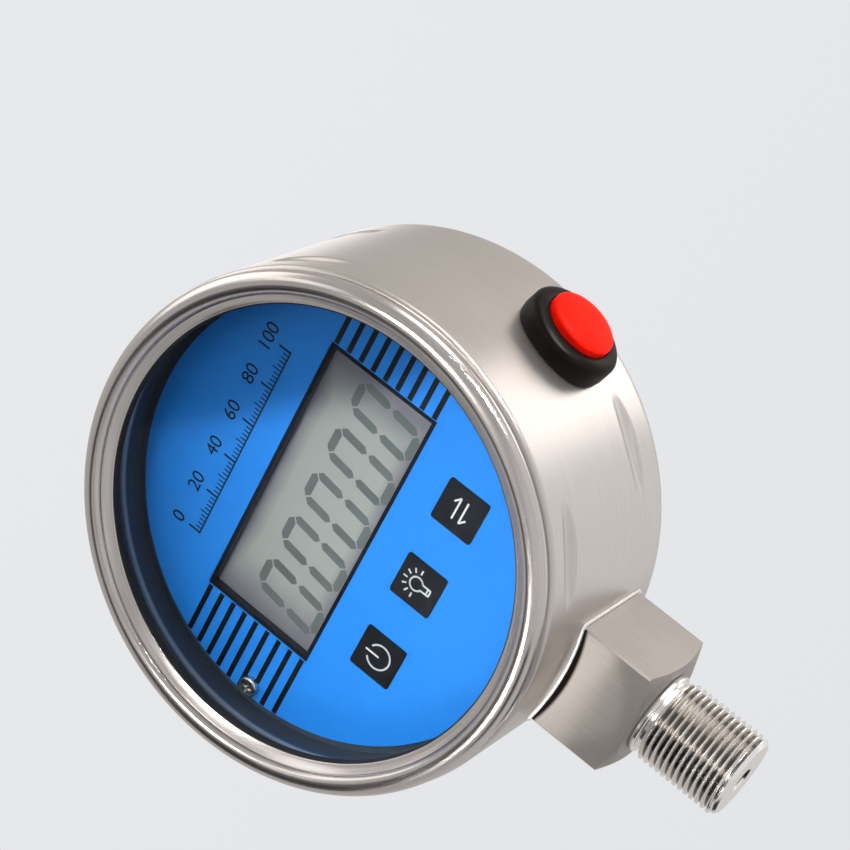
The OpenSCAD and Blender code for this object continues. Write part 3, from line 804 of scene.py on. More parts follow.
def finishes() -> Dict[str, Material]:
    """Builds each finish once.

    Returns:
        The materials by name.
    """
    made = [
        # Deep-drawn stainless sheet, polished round: a soft mirror with long faint streaks.
        WorkedSteel("drawn_steel", "#C2BBB5", low="#BDB5AF", high="#CEC8C3", depth_mm=0.0012, rough_low=0.3,
                    rough_high=0.38, line_mm=0.18, cloud_mm=30),
        # Rolled and turned stainless ring: smoother than the cup, so lamps draw sharp bands on it.
        WorkedSteel("turned_steel", "#C2BDB8", low="#B7AFA9", high="#CEC8C4", line_mm=0.2, depth_mm=0.0012,
                    rough_low=0.2, rough_high=0.28),
        # Stainless bar ground lengthwise: grey and dull, with straight lines, and a painted shade in the
        # corner under the case.
        CornerShadedSteel("ground_steel", "#A6A19C", lay=Lay.ALONG_Z, low="#9F9892", high="#B2ABA6", reach_mm=12,
                    depth_mm=0.0015, rough_low=0.46, rough_high=0.54),
        # Stainless thread fresh from the lathe: bright crests, with a painted shade in the roots.
        CutThread("thread_steel", "#E8E4E0", lay=Lay.ROUND_STUD, low="#E2DDD8", high="#F6F3F0",
                  rough_low=0.14, rough_high=0.24, depth_mm=0.001),
        # Moulded nitrile rubber: black, with hardly a sheen.
        Moulded("nitrile_rubber", "#1A1A1B", roughness=0.75, low="#111112"),
        # Float glass: clear, and seen by what it mirrors.
        ClearGlass("float_glass", "#F7FBFB", roughness=0.02),
        # Moulded ABS: blue-black and glossy.
        Moulded("black_abs", "#171C25", roughness=0.22, low="#12161E", depth_mm=0.003, rough_spread=0.015),
        # Moulded ABS in the well: slate, lit by the dial, with a painted highlight along its step.
        WellPlastic("well_abs", "#434E5B", roughness=0.38, low="#3C4652", depth_mm=0.003, rough_spread=0.03),
        # Screen-printed polyester film: a full, even blue, half matt.
        DialPaint("blue_film", "#268BEB", roughness=0.4, low="#2487E7", depth_mm=0.001, rough_spread=0.02,
                  gloss=0.25),
        # Nickel plate on steel screws: warm white and shiny.
        WorkedSteel("nickel_plate", "#D8D6D1", lay=Lay.ROUND_STUD, low="#CBC8C3", high="#E6E4E0",
                    rough_low=0.2, rough_high=0.3, depth_mm=0.0008),
        # Liquid crystal panel over a grey reflector: even, a little darker round its edge.
        CrystalPanel("crystal_panel", "#A4A49E", roughness=0.3),
        # Moulded acrylic light guide: milky and smooth.
        Moulded("light_guide", "#EDEFE8", roughness=0.3, low="#E4E6DF"),
        # Layered silicone contact strip: dull pink.
        Moulded("silicone_strip", "#B9A9AC", roughness=0.6, low="#A99A9D"),
        # Moulded key cap: near black, with a satin face.
        Moulded("satin_key", "#0D0D11", roughness=0.35, low="#09090C", depth_mm=0.004, rough_spread=0.03),
        # Moulded nylon, grey and white: waxy and even.
        Moulded("grey_nylon", "#6F7074", roughness=0.5, low="#626367"),
        Moulded("white_nylon", "#DADAD6", roughness=0.45, low="#CFCFCB"),
        # Printed solder mask: deep green under a thin gloss.
        Moulded("solder_mask", "#0F5A35", roughness=0.35, low="#0B4A2B"),
        # Turned brass: warm yellow, ringed by the tool.
        WorkedSteel("yellow_brass", "#C9A557", lay=Lay.ROUND_STUD, low="#B08D45", high="#D6B469"),
        # Rolled aluminium sheet: pale, with the lines of the mill.
        WorkedSteel("rolled_aluminium", "#C4C6C8", lay=Lay.ALONG_Z, low="#B0B2B4", high="#D2D4D6"),
        # Shrunk sleeve on a cell: slate, half gloss.
        Moulded("cell_sleeve", "#3B4046", roughness=0.4, low="#32363B"),
        # Moulded nylon collar: warm black and matt, with a coarser grain.
        Moulded("collar_nylon", "#0C0502", roughness=0.42, low="#080301", grain_mm=0.4, depth_mm=0.005,
                gloss=0.1),
        # Moulded nylon cap: strong red, soft at its highlights.
        Moulded("cap_nylon", "#F41403", roughness=0.5, low="#EE1202", grain_mm=0.5, depth_mm=0.003,
                gloss=0.06),
        # Weld bead: ripples across the seam, bright, with a painted shade over its front part in the corner
        # under the case.
        CornerShadedSteel("weld_bead", "#DEDAD6", low="#D2CDC8", high="#E8E5E2", reach_mm=1.2, line_mm=0.9,
                    depth_mm=0.03, rough_low=0.32, rough_high=0.44, start=0.25, slant=0.025, reach=3.0,
                    front=-14.0),
        # Drawn spring wire: grey and bright.
        WorkedSteel("spring_wire", "#AFAFAE", lay=Lay.ROUND_STUD, low="#9B9B9A", high="#C3C3C2"),
        # Screen-printed inks: a thin even film, duller than what lies under it.
        Moulded("black_ink", "#0D0D11", roughness=0.45, low="#08080B", depth_mm=0.002, rough_spread=0.02,
                gloss=0.25),
        Moulded("white_ink", "#F2F3F4", roughness=0.5, low="#E8E9EA"),
        # Driven segments of the liquid crystal: grey on grey.
        Moulded("crystal_ink", "#686D6B", roughness=0.4, low="#606563", depth_mm=0.002, rough_spread=0.02),
    ]
    return {f.name: f.make() for f in made}


BY_SLOT: Dict[str, str] = {
    "case_steel": "drawn_steel", "bezel_steel": "turned_steel", "block_steel": "ground_steel",
    "black_rubber": "nitrile_rubber", "clear_glass": "float_glass", "black_moulding": "black_abs",
    "blue_paint": "blue_film", "plated_screw": "nickel_plate", "display_glass": "crystal_panel",
    "light_guide": "light_guide", "pink_rubber": "silicone_strip", "black_key": "satin_key",
    "grey_plastic": "grey_nylon", "white_plastic": "white_nylon", "green_board": "solder_mask",
    "brass": "yellow_brass", "bare_aluminium": "rolled_aluminium", "cell_jacket": "cell_sleeve",
    "black_collar": "collar_nylon", "red_cap": "cap_nylon", "spring_steel": "spring_wire"}


# Sub-assemblies


@dataclass
class Gauge:
    """Sizes that all the sub-assemblies share."""

    axis_z: float = 97.2
    lip_y: float = -32.8
    case_r: float = 57.2

    @staticmethod
    def at(x: float, up: float, depth: float) -> Vec3:
        """A point of the dial's frame, depth behind the bezel's inner edge, in the row frame."""
        return (x, Gauge.lip_y + depth, Gauge.axis_z + up)

    @staticmethod
    def turned(outline: Sequence[Point], columns: int, shape: Optional[Callable] = None) -> np.ndarray:
        """Turns an outline of (radius, depth) round the case's axis.

        Args:
            outline: radii and depths.
            columns: points round.
            shape: changes radii, given radius, depth and angle arrays.

        Returns:
            Points in the row frame, row by row.
        """
        r, d = (np.repeat(values[:, None], columns, 1) for values in np.array(outline).T)
        a = np.repeat((np.arange(columns) / columns * 2 * np.pi)[None, :], len(outline), 0)
        if shape is not None:
            r = shape(r, d, a)
        return np.stack([r * np.cos(a), Gauge.lip_y + d, Gauge.axis_z + r * np.sin(a)], -1).reshape(-1, 3)


@dataclass
class CaseCup:
    """The drawn cup with two rows of pressed dimples and the hole for the button's sleeve.

    A row of dimples is its depth and the angle of its first dimple, in degrees.
    """

    wall: float = 1.2
    front: float = 1.7
    back: float = 54.7
    edge_r: float = 4.0
    rim_r: float = 1.1
    front_row: Point = (9.4, 32.0)
    rear_row: Point = (42.02, -43.0)
    dimples: int = 4
    dimple_depth: float = 1.1
    dimple_reach_cos: float = 0.8
    punch_r: float = 3.5
    soft: float = 0.22
    hole_gap: float = 0.1
    hole_over: float = 5.0
    hole_sides: int = 96
    columns: int = 480
    wall_rows: int = 128
    inner_rows: int = 36
    smooth: float = 35.0

    def pressed(self, r: np.ndarray, d: np.ndarray, a: np.ndarray) -> np.ndarray:
        """Presses the dimples in with a round bar that lies across the wall, with soft edges.

        Args:
            r: radii.
            d: depths.
            a: angles.

        Returns:
            The new radii.
        """
        out = r.copy()
        middle = Gauge.case_r + self.punch_r - self.dimple_depth
        for depth, first in (self.front_row, self.rear_row):
            for k in range(self.dimples):
                turn = a - math.radians(first + 360 / self.dimples * k)
                aside, rise = r * np.sin(turn), r * np.cos(turn)
                punch = np.where(r > Gauge.case_r - self.wall / 2, self.punch_r, self.punch_r + self.wall)
                v = np.clip(np.abs(d - depth), 0, punch)
                bar = middle - np.sqrt(np.maximum(punch ** 2 - v ** 2, 0))
                # The lower of the wall and the bar, with a soft step where they cross.
                share = np.clip(0.5 + 0.5 * (bar - rise) / self.soft, 0, 1)
                low = bar + (rise - bar) * share - self.soft * share * (1 - share)
                here = ((np.cos(turn) > self.dimple_reach_cos) & (np.abs(d - depth) < punch)
                        & (r > Gauge.case_r - 2 * self.wall))
                out = np.where(here, np.minimum(out, np.sqrt(np.maximum(low, 1) ** 2 + aside ** 2)), out)
        return out

    def build(self, steel: Material) -> None:
        """Makes the cup and cuts the sleeve's hole.

        Args:
            steel: its finish.
        """
        outer, inner, edge = Gauge.case_r, Gauge.case_r - self.wall, self.edge_r
        bend_y, bend_r = self.back - edge, edge - self.wall
        rim_y, floor_y = self.front + self.rim_r, self.back - self.wall
        outline = (
            [(0.0, self.back)]
            + [(r, self.back - z) for r, z in arc(outer - edge, edge, edge, -90, 0, n=12)]
            + [(outer, d) for d in np.linspace(bend_y, rim_y, self.wall_rows)[1:-1]]
            + [(r, rim_y - z) for r, z in arc(outer - self.rim_r, 0, self.rim_r, 0, 90, n=8)]
            + [(inner, self.front)]
            + [(inner, d) for d in np.linspace(self.front, bend_y, self.inner_rows)[1:]]
            + [(r, floor_y - z) for r, z in arc(inner - bend_r, bend_r, bend_r, 0, -90, n=6)]
            + [(0.0, floor_y)])
        # The outline begins and ends on the axis, so no face joins its last row to its first.
        last_row = (len(outline) - 1) * self.columns
        faces = [f for f in lathe_faces(len(outline), self.columns) if f[0] < last_row]
        cup = new_object("case_cup", Gauge.turned(outline, self.columns, self.pressed), faces, self.smooth)
        hole = round_bar("case_hole", Button().spot, Button.sleeve_r + self.hole_gap, outer / 2,
                         outer + self.hole_over, self.hole_sides)
        cut_away(cup, hole, self.smooth)
        place(cup, steel, Body.GAUGE, "case_shell")


@dataclass
class Bezel:
    """The rolled ring: a round bead, a crease and a lip that falls back to its edge.

    The curl is how far the bead's outer side falls in at each depth.
    """

    window_r: float = 49.8
    crease_r: float = 52.0
    outer_r: float = 56.8
    bead: float = 2.15
    bead_steps: int = 40
    crease: float = 1.3
    groove: float = 0.22
    groove_step: float = 0.1
    groove_in: float = 0.08
    groove_out: float = 0.04
    lip: float = 0.9
    lip_round: float = 0.12
    lip_stop: float = 0.25
    lip_bow: float = 1.15
    lip_steps: int = 8
    curl: Tuple[Point, ...] = ((0.1, 0.5), (0.35, 0.95), (0.8, 1.3))
    seat: float = 1.65
    seat_in: float = 1.1
    skirt_r: float = 55.95
    skirt_t: float = 1.0
    skirt: float = 5.4
    columns: int = 576
    smooth: float = 35.0

    def build(self, steel: Material) -> None:
        """Turns the ring's outline.

        Args:
            steel: its finish.
        """
        half, soft = (self.outer_r - self.crease_r) / 2, self.lip_round
        bead = []
        for i in range(1, self.bead_steps + 1):
            left = 1 - i / self.bead_steps
            a = math.pi * left
            r = self.crease_r + half * (1 + math.cos(a))
            bead.append((r, -(self.bead * math.sin(a) + self.crease * left)))
        first, last = self.window_r + soft, self.crease_r - self.lip_stop
        lip = [(self.window_r, self.lip), (self.window_r, soft), (self.window_r + soft / 3, soft / 4),
               (first, -soft / 4)]
        for i in range(1, self.lip_steps + 1):
            t = i / self.lip_steps
            fall = (self.crease - self.groove_step) * t ** self.lip_bow
            lip.append((first + (last - first) * t, -soft / 4 - fall))
        low, inner = self.groove - self.crease, self.skirt_r - self.skirt_t
        groove = [(self.crease_r - self.groove_in, low),
                  (self.crease_r + self.groove_out, low - self.groove_step)]
        curl = [(self.outer_r - fallen, depth) for fallen, depth in self.curl]
        skirt = [(self.outer_r - self.seat_in, self.seat), (self.skirt_r, self.seat),
                 (self.skirt_r, self.skirt), (inner, self.skirt), (inner, self.lip)]
        outline = lip + groove + bead + curl + skirt
        faces = lathe_faces(len(outline), self.columns)
        ring = new_object("bezel_bead", Gauge.turned(outline, self.columns), faces, self.smooth)
        place(ring, steel, Body.GAUGE, "bezel_ring")


@dataclass
class Well:
    """The black moulding whose wall shows between glass and dial, and the rubber under the lip."""

    wall_r: float = 53.2
    outer_r: float = 54.8
    flange_r: float = 55.9
    top: float = 5.0
    chamfer: float = 0.3
    shoulder: float = 12.52
    ledge: float = 15.75
    bottom: float = 17.25
    ledge_r: float = 45.5
    step: float = 0.7
    step_depth: float = 8.4
    bead_r: float = 49.45
    bead_low: float = 0.925
    bead_high: float = 1.925
    bead_round: float = 0.15
    lip_gap: float = 0.01
    facet: float = 3.0
    columns: int = 360

    def ring(self, name: str, outline: Sequence[Point], material: Material, node: str) -> None:
        """Turns one of the two rings.

        Args:
            name: object's name.
            outline: closed outline of (radius, depth).
            material: its finish.
            node: CAD node that it replaces.
        """
        rows = spread(outline, self.facet)
        obj = new_object(name, Gauge.turned(rows, self.columns), lathe_faces(len(rows), self.columns))
        place(obj, material, Body.GAUGE, node)

    def build(self, plastic: Material, rubber: Material) -> None:
        """Turns the gasket and the stepped wall with its ledge.

        Args:
            plastic: finish of the wall.
            rubber: finish of the gasket.
        """
        edge = Bezel.window_r - self.lip_gap
        round_r = edge - self.bead_r
        bead = ([(self.outer_r, self.bead_high), (self.outer_r, self.bead_low), (edge, self.bead_low)]
                + arc(edge, round_r + self.bead_round, round_r, 270, 180, n=8)
                + [(self.bead_r, self.bead_high)])
        self.ring("window_bead", bead, rubber, "window_gasket")
        wall = [(self.wall_r, self.top + self.chamfer), (self.wall_r + self.chamfer, self.top),
                (self.outer_r, self.top), (self.outer_r, self.shoulder), (self.flange_r, self.shoulder),
                (self.flange_r, self.bottom), (self.ledge_r, self.bottom), (self.ledge_r, self.ledge),
                (self.wall_r - self.step, self.ledge)]
        wall += arc(self.wall_r, self.step_depth + self.step, self.step, 180, 270, n=8)
        self.ring("dial_well", wall, plastic, "inner_housing")


@dataclass
class Dial:
    """What is printed on the dial, and what shows in its openings.

    The scale has a mark at each millimetre, longer ones at each half step, and the longest, with
    their numbers, at each number step.
    """

    face: float = 14.2
    radius: float = 50.4
    display_w: float = 67.2
    display_h: float = 29.0
    display_up: float = 5.7
    ink: float = 0.03
    bars: int = 9
    bar_w: float = 1.25
    bar_inset: float = 1.05
    display_gap: float = 0.2
    rim_gap: float = 0.15
    digits: int = 5
    digit_w: float = 6.7
    digit_h: float = 16.2
    digit_pitch: float = 12.25
    digit_left: float = -28.6
    digit_low: float = -6.0
    stroke: float = 2.0
    stroke_gap: float = 0.26
    lean: float = 0.14
    crystal: float = 16.3
    crystal_ink: float = 0.02
    scale_up: float = 27.5
    scale_half: int = 25
    marks: Tuple[float, float, float] = (3.0, 2.2, 1.4)
    mark_halves: Tuple[float, float] = (0.22, 0.14)
    base_over: float = 0.3
    base_t: float = 0.35
    number_h: float = 4.6
    number_step: int = 10
    half_step: int = 5
    number_value: int = 20

    @staticmethod
    def flat(name: str, outlines: Iterable[Sequence[Point]], depth: float, thick: float) -> Piece:
        """Lays flat printed shapes on a face that looks forward.

        Args:
            name: object's name.
            outlines: convex outlines in the dial's frame, in millimetres.
            depth: how deep the face lies behind the bezel's edge.
            thick: thickness of the print.

        Returns:
            The object.
        """
        verts: List[Vec3] = []
        faces: List[List[int]] = []
        for outline in outlines:
            n, k = len(outline), len(verts)
            verts += [Gauge.at(x, y, d) for d in (depth - thick, depth) for x, y in outline]
            faces.append(list(range(k, k + n)))
            faces.append(list(range(k + 2 * n - 1, k + n - 1, -1)))
            faces += [[k + i, k + n + i, k + n + (i + 1) % n, k + (i + 1) % n] for i in range(n)]
        return new_object(name, verts, faces, smooth=20)

    def stripes(self, ink: Material) -> None:
        """Lays black bars from the display to the dial's edge, each as long as the round dial lets it be.

        Args:
            ink: their finish.
        """
        rule = Rule("dial_bars")
        count = rule.size("Count", self.bars)
        pitch = rule.size("Pitch", (self.display_h - 2 * self.bar_inset) / (self.bars - 1) * MM)
        width = rule.size("Width", self.bar_w * MM)
        radius = rule.size("Dial radius", (self.radius - self.rim_gap) * MM)
        inner = rule.size("Display half width", (self.display_w / 2 + self.display_gap) * MM)
        first = rule.size("Lowest", (self.display_up - self.display_h / 2 + self.bar_inset) * MM)
        thick = rule.size("Ink", self.ink * MM)
        line = rule.add("GeometryNodeMeshLine", None, Count=count)
        height = rule.add(MATH, "MULTIPLY_ADD", rule.add("GeometryNodeInputIndex"), pitch, first)
        squares = [rule.add(MATH, "MULTIPLY", side, side) for side in (radius, height)]
        reach = rule.add(MATH, "SQRT", rule.add(MATH, "SUBTRACT", *squares))
        middle = rule.add(MATH, "MULTIPLY", rule.add(MATH, "ADD", reach, inner), 0.5)
        size = rule.add("ShaderNodeCombineXYZ", None, rule.add(MATH, "SUBTRACT", reach, inner), thick, width)
        cube = rule.add("GeometryNodeMeshCube", None, Size=(1.0, 1.0, 1.0))
        both = []
        for side in (-1.0, 1.0):
            across = rule.add(MATH, "MULTIPLY", middle, side)
            spot = rule.add("ShaderNodeCombineXYZ", None, across, 0.0, height)
            points = rule.add("GeometryNodeSetPosition", None, line, Position=spot)
            both.append(rule.add("GeometryNodeInstanceOnPoints", None, points, Instance=cube, Scale=size))
        joined = rule.add("GeometryNodeJoinGeometry", None, both[0])
        rule.tree.links.new(both[1].outputs["Instances"], joined.inputs["Geometry"])
        mesh = rule.run(joined, ink)
        mesh.transform(Matrix.Translation(Vector(Gauge.at(0, 0, self.face - self.ink / 2)) * MM))
        place(mesh_object("dial_bars", mesh), ink, Body.GAUGE)

    def numeral(self) -> List[List[Point]]:
        """Draws a nought of six segments, each a bar with pointed ends.

        The segments are worked out on complex numbers, where a factor of 1j is a quarter turn.

        Returns:
            The outlines of its segments.
        """
        half = self.stroke / 2
        (low_l, mid_l, top_l), (low_r, mid_r, top_r) = (
            [complex(x, self.digit_h * share) for share in (0, 0.5, 1)] for x in (0, self.digit_w))
        runs = ((top_l, top_r), (low_l, low_r), (mid_l, top_l), (mid_r, top_r), (low_l, mid_l),
                (low_r, mid_r))
        outlines = []
        for a, b in runs:
            u = (b - a) / abs(b - a)
            a, b, n = a + u * self.stroke_gap, b - u * self.stroke_gap, u * 1j
            shape = (a, a + (u + n) * half, b + (n - u) * half, b, b - (u + n) * half, a + (u - n) * half)
            outlines.append([(p.real + self.lean * p.imag, p.imag) for p in shape])
        return outlines

    def segments(self, ink: Material) -> None:
        """Sets a row of noughts on the liquid crystal panel.

        Args:
            ink: their finish.
        """
        digit = self.flat("numeral", self.numeral(), self.crystal, self.crystal_ink)
        rule = Rule("display_numerals")
        step = rule.add("ShaderNodeCombineXYZ", None, rule.size("Pitch", self.digit_pitch * MM))
        line = rule.add("GeometryNodeMeshLine", None, Count=rule.size("Count", self.digits), Offset=step)
        laid = rule.add("GeometryNodeInstanceOnPoints", None, line, Instance=rule.start)
        mesh = rule.run(laid, ink, digit)
        mesh.transform(Matrix.Translation(Vector((self.digit_left, 0, self.digit_low)) * MM))
        place(mesh_object("display_numerals", mesh), ink, Body.GAUGE)

    def scale(self, ink: Material) -> None:
        """Prints a generic bar scale with plain numbers above the display.

        Args:
            ink: its finish.
        """
        base, outlines = self.scale_up, []
        for i in range(2 * self.scale_half + 1):
            x, main = i - self.scale_half, i % self.number_step == 0
            tall = self.marks[0 if main else (1 if i % self.half_step == 0 else 2)]
            wide = self.mark_halves[0 if main else 1]
            outlines.append(box(x - wide, base, x + wide, base + tall))
        end = self.scale_half + self.base_over
        outlines.append(box(-end, base - self.base_t, end, base))
        place(self.flat("dial_scale", outlines, self.face, self.ink), ink, Body.GAUGE)
        for i in range(2 * self.scale_half // self.number_step + 1):
            text = bpy.data.curves.new(f"scale_number_{i}", "FONT")
            text.body, text.align_x = str(self.number_value * i), "CENTER"
            text.size, text.extrude = self.number_h * MM, self.ink / 2 * MM
            holder = linked(text.name, text)
            mesh = plain_mesh(holder)
            bpy.data.objects.remove(holder)
            x = self.number_step * i - self.scale_half
            spot = Gauge.at(x, base + self.number_h, self.face - self.ink / 2)
            mesh.transform(Matrix.Rotation(math.radians(90), 4, "X"))
            mesh.transform(Matrix.Translation(Vector(spot) * MM))
            place(mesh_object(text.name, mesh), ink, Body.GAUGE)


@dataclass
class Key:
    """A square key's printed sign; its column is -1, 0 or 1."""

    body: Body
    column: int
    pitch: float = 20.5
    down: float = -22.5
    front: float = 14.0
    ink: float = 0.03
    line: float = 0.42
    overlap_share: float = 0.25

    def ribbon(self, points: Sequence[Point], width: float) -> List[List[Point]]:
        """Turns a line into the quads of a band, worked out on complex numbers.

        Args:
            points: the line.
            width: width of the band.

        Returns:
            A quad for each run, which laps over its neighbours.
        """
        line = [complex(*p) for p in points]
        bands = []
        for a, b in zip(line, line[1:]):
            u = (b - a) / abs(b - a) * width / 2
            lap, n = u * self.overlap_share, u * 1j
            bands.append([(p.real, p.imag) for p in (a - lap + n, b + lap + n, b + lap - n, a - lap - n)])
        return bands

    def power(self) -> List[List[Point]]:
        """Draws an open ring with a stroke through its gap.

        Returns:
            The sign's bands about the key's middle.
        """
        middle, ring_r, top = -0.2, 2.85, 3.3
        ring = self.ribbon(arc(0, middle, ring_r, 120, 420, n=40), self.line)
        return ring + self.ribbon([(0, middle), (0, top)], self.line)

    def bulb(self) -> List[List[Point]]:
        """Draws a lamp bulb with seven rays.

        Returns:
            The sign's bands about the key's middle.
        """
        up, glass_r, ray_from, ray_to = 0.5, 1.6, 2.5, 3.5
        neck, neck_up, base, base_up, foot_up = 0.75, -0.9, 0.7, -2.4, -3.1
        glass_line, base_line, ray_line = 0.4, 0.34, 0.38
        foot = [(-neck, neck_up), (-base, foot_up), (base, foot_up), (neck, neck_up)]
        bands = self.ribbon(arc(0, up, glass_r, -62, 242, n=32), glass_line)
        bands += self.ribbon(foot, glass_line) + self.ribbon([(-base, base_up), (base, base_up)], base_line)
        for a in range(0, 181, 30):
            c, s = math.cos(math.radians(a)), math.sin(math.radians(a))
            bands += self.ribbon([(r * c, up + r * s) for r in (ray_from, ray_to)], ray_line)
        return bands

    def arrows(self) -> List[List[Point]]:
        """Draws two opposed arrows.

        Returns:
            The sign's bands about the key's middle.
        """
        tip, end, up, barb, barb_up = 2.6, 2.4, 0.9, 1.2, 2.1
        bands = []
        for side in (-1, 1):
            bands += self.ribbon([(-tip * side, up * side), (end * side, up * side)], self.line)
            bands += self.ribbon([(barb * side, barb_up * side), (tip * side, up * side)], self.line)
        return bands

    def build(self, ink: Material) -> None:
        """Prints the sign on the key.

        Args:
            ink: its finish.
        """
        signs = {Body.KEY_POWER: self.power, Body.KEY_LIGHT: self.bulb, Body.KEY_UNIT: self.arrows}
        middle = self.column * self.pitch
        outlines = [[(x + middle, y + self.down) for x, y in band] for band in signs[self.body]()]
        place(Dial.flat(f"{self.body.value}_sign", outlines, self.front, self.ink), ink, self.body)


@dataclass
class Button:
    """The collar and the red cap, turned about the button's own axis.

    The sleeve's end and the web's two heights start from the case's axis. The other heights start
    from the case's skin, or from the edge that they shape.
    """

    angle: float = -17.0
    depth: float = 35.575
    sleeve_r: float = 8.0
    sleeve_end: float = 44.0
    throat_r: float = 6.2
    rod_r: float = 3.05
    web_low: float = 50.0
    web_high: float = 53.2
    collar_r: float = 11.4
    collar_h: float = 5.3
    collar_gap: float = 0.05
    collar_toe: float = 0.3
    collar_toe_in: float = 0.25
    mouth_wall: float = 0.75
    mouth_round: float = 0.3
    mouth_round_in: float = 0.25
    mouth_fall: float = 0.04
    shoulder_share: float = 0.64
    shoulder_steps: int = 20
    foot: float = 0.2
    cap_r: float = 7.9
    cap_gap: float = 0.05
    cap_edge: float = 0.1
    cap_edge_h: float = 0.15
    cap_clear: float = 0.3
    travel: float = 2.0
    rise: float = 2.9
    dome: float = 1.9
    dome_power: float = 2.4
    dome_steps: int = 37
    roof: float = 1.6
    boss_bore_r: float = 3.025
    boss_r: float = 3.9
    skirt_r: float = 6.7
    facet: float = 2.0
    columns: int = 160

    def spot(self, r: float, a: float, h: float) -> Vec3:
        """Places a point of the button in the row frame.

        Args:
            r: radius from the button's axis.
            a: angle round it, in radians.
            h: height along it.

        Returns:
            The point.
        """
        side, front, t = r * math.sin(a), r * math.cos(a), math.radians(self.angle)
        x, up = h * math.cos(t) - side * math.sin(t), h * math.sin(t) + side * math.cos(t)
        return Gauge.at(x, up, self.depth - front)

    def on_skin(self, r: float, a: float, h: float) -> Vec3:
        """Places a point as spot does, and lays what is at the skin's height on the case's curve.

        Args:
            r: radius from the button's axis.
            a: angle round it, in radians.
            h: height along it.

        Returns:
            The point.
        """
        skin = Gauge.case_r + self.collar_gap
        if abs(h - skin) < 1e-6:
            h = math.sqrt(skin ** 2 - (r * math.sin(a)) ** 2)
        return self.spot(r, a, h)

    def collar_outline(self) -> List[Point]:
        """Outlines the collar with its sleeve.

        Returns:
            Radii and heights.
        """
        skin, top = Gauge.case_r + self.collar_gap, Gauge.case_r + self.collar_h
        side, foot = Gauge.case_r + self.collar_h * self.shoulder_share, Gauge.case_r + self.foot
        mouth, bore = self.cap_r + self.mouth_wall, self.cap_r + self.cap_gap
        outline = [(self.sleeve_r, skin), (self.collar_r - self.collar_toe_in, skin),
                   (self.collar_r, skin + self.collar_toe)]
        for c, s in arc(0, 0, 1, 0, 90, n=self.shoulder_steps):
            outline.append((mouth + (self.collar_r - mouth) * c, side + (top - side) * s))
        return outline + [
            (bore + self.mouth_round_in, top - self.mouth_fall), (bore, top - self.mouth_round),
            (bore, foot), (self.throat_r, foot), (self.throat_r, self.web_high),
            (self.rod_r, self.web_high), (self.rod_r, self.web_low), (self.throat_r, self.web_low),
            (self.throat_r, self.sleeve_end), (self.sleeve_r, self.sleeve_end)]

    def cap_outline(self) -> List[Point]:
        """Outlines the skirted cap with the boss that holds the plunger.

        Returns:
            Radii and heights.
        """
        low = Gauge.case_r + self.travel + self.cap_clear
        top = Gauge.case_r + self.collar_h + self.rise
        edge, roof, power = top - self.dome, top - self.roof, 2 / self.dome_power
        outline = [(self.cap_r - self.cap_edge, low), (self.cap_r, low + self.cap_edge_h)]
        for a in np.radians(np.linspace(0, 90, self.dome_steps))[:-1]:
            outline.append((self.cap_r * math.cos(a) ** power, edge + self.dome * math.sin(a) ** power))
        return outline + [(0.0, top), (0.0, roof), (self.boss_bore_r, roof), (self.boss_bore_r, low),
                          (self.boss_r, low), (self.boss_r, roof), (self.skirt_r, roof), (self.skirt_r, low)]

    def build(self, collar: Material, cap: Material) -> None:
        """Makes the collar with its sleeve and the cap.

        Args:
            collar: finish of the collar.
            cap: finish of the cap.
        """
        sleeve = turned("button_sleeve", self.on_skin, self.collar_outline(), self.columns)
        place(sleeve, collar, Body.GAUGE, "button_collar")
        dome = turned("button_dome", self.spot, spread(self.cap_outline(), self.facet), self.columns)
        place(dome, cap, Body.BUTTON, "button_cap")


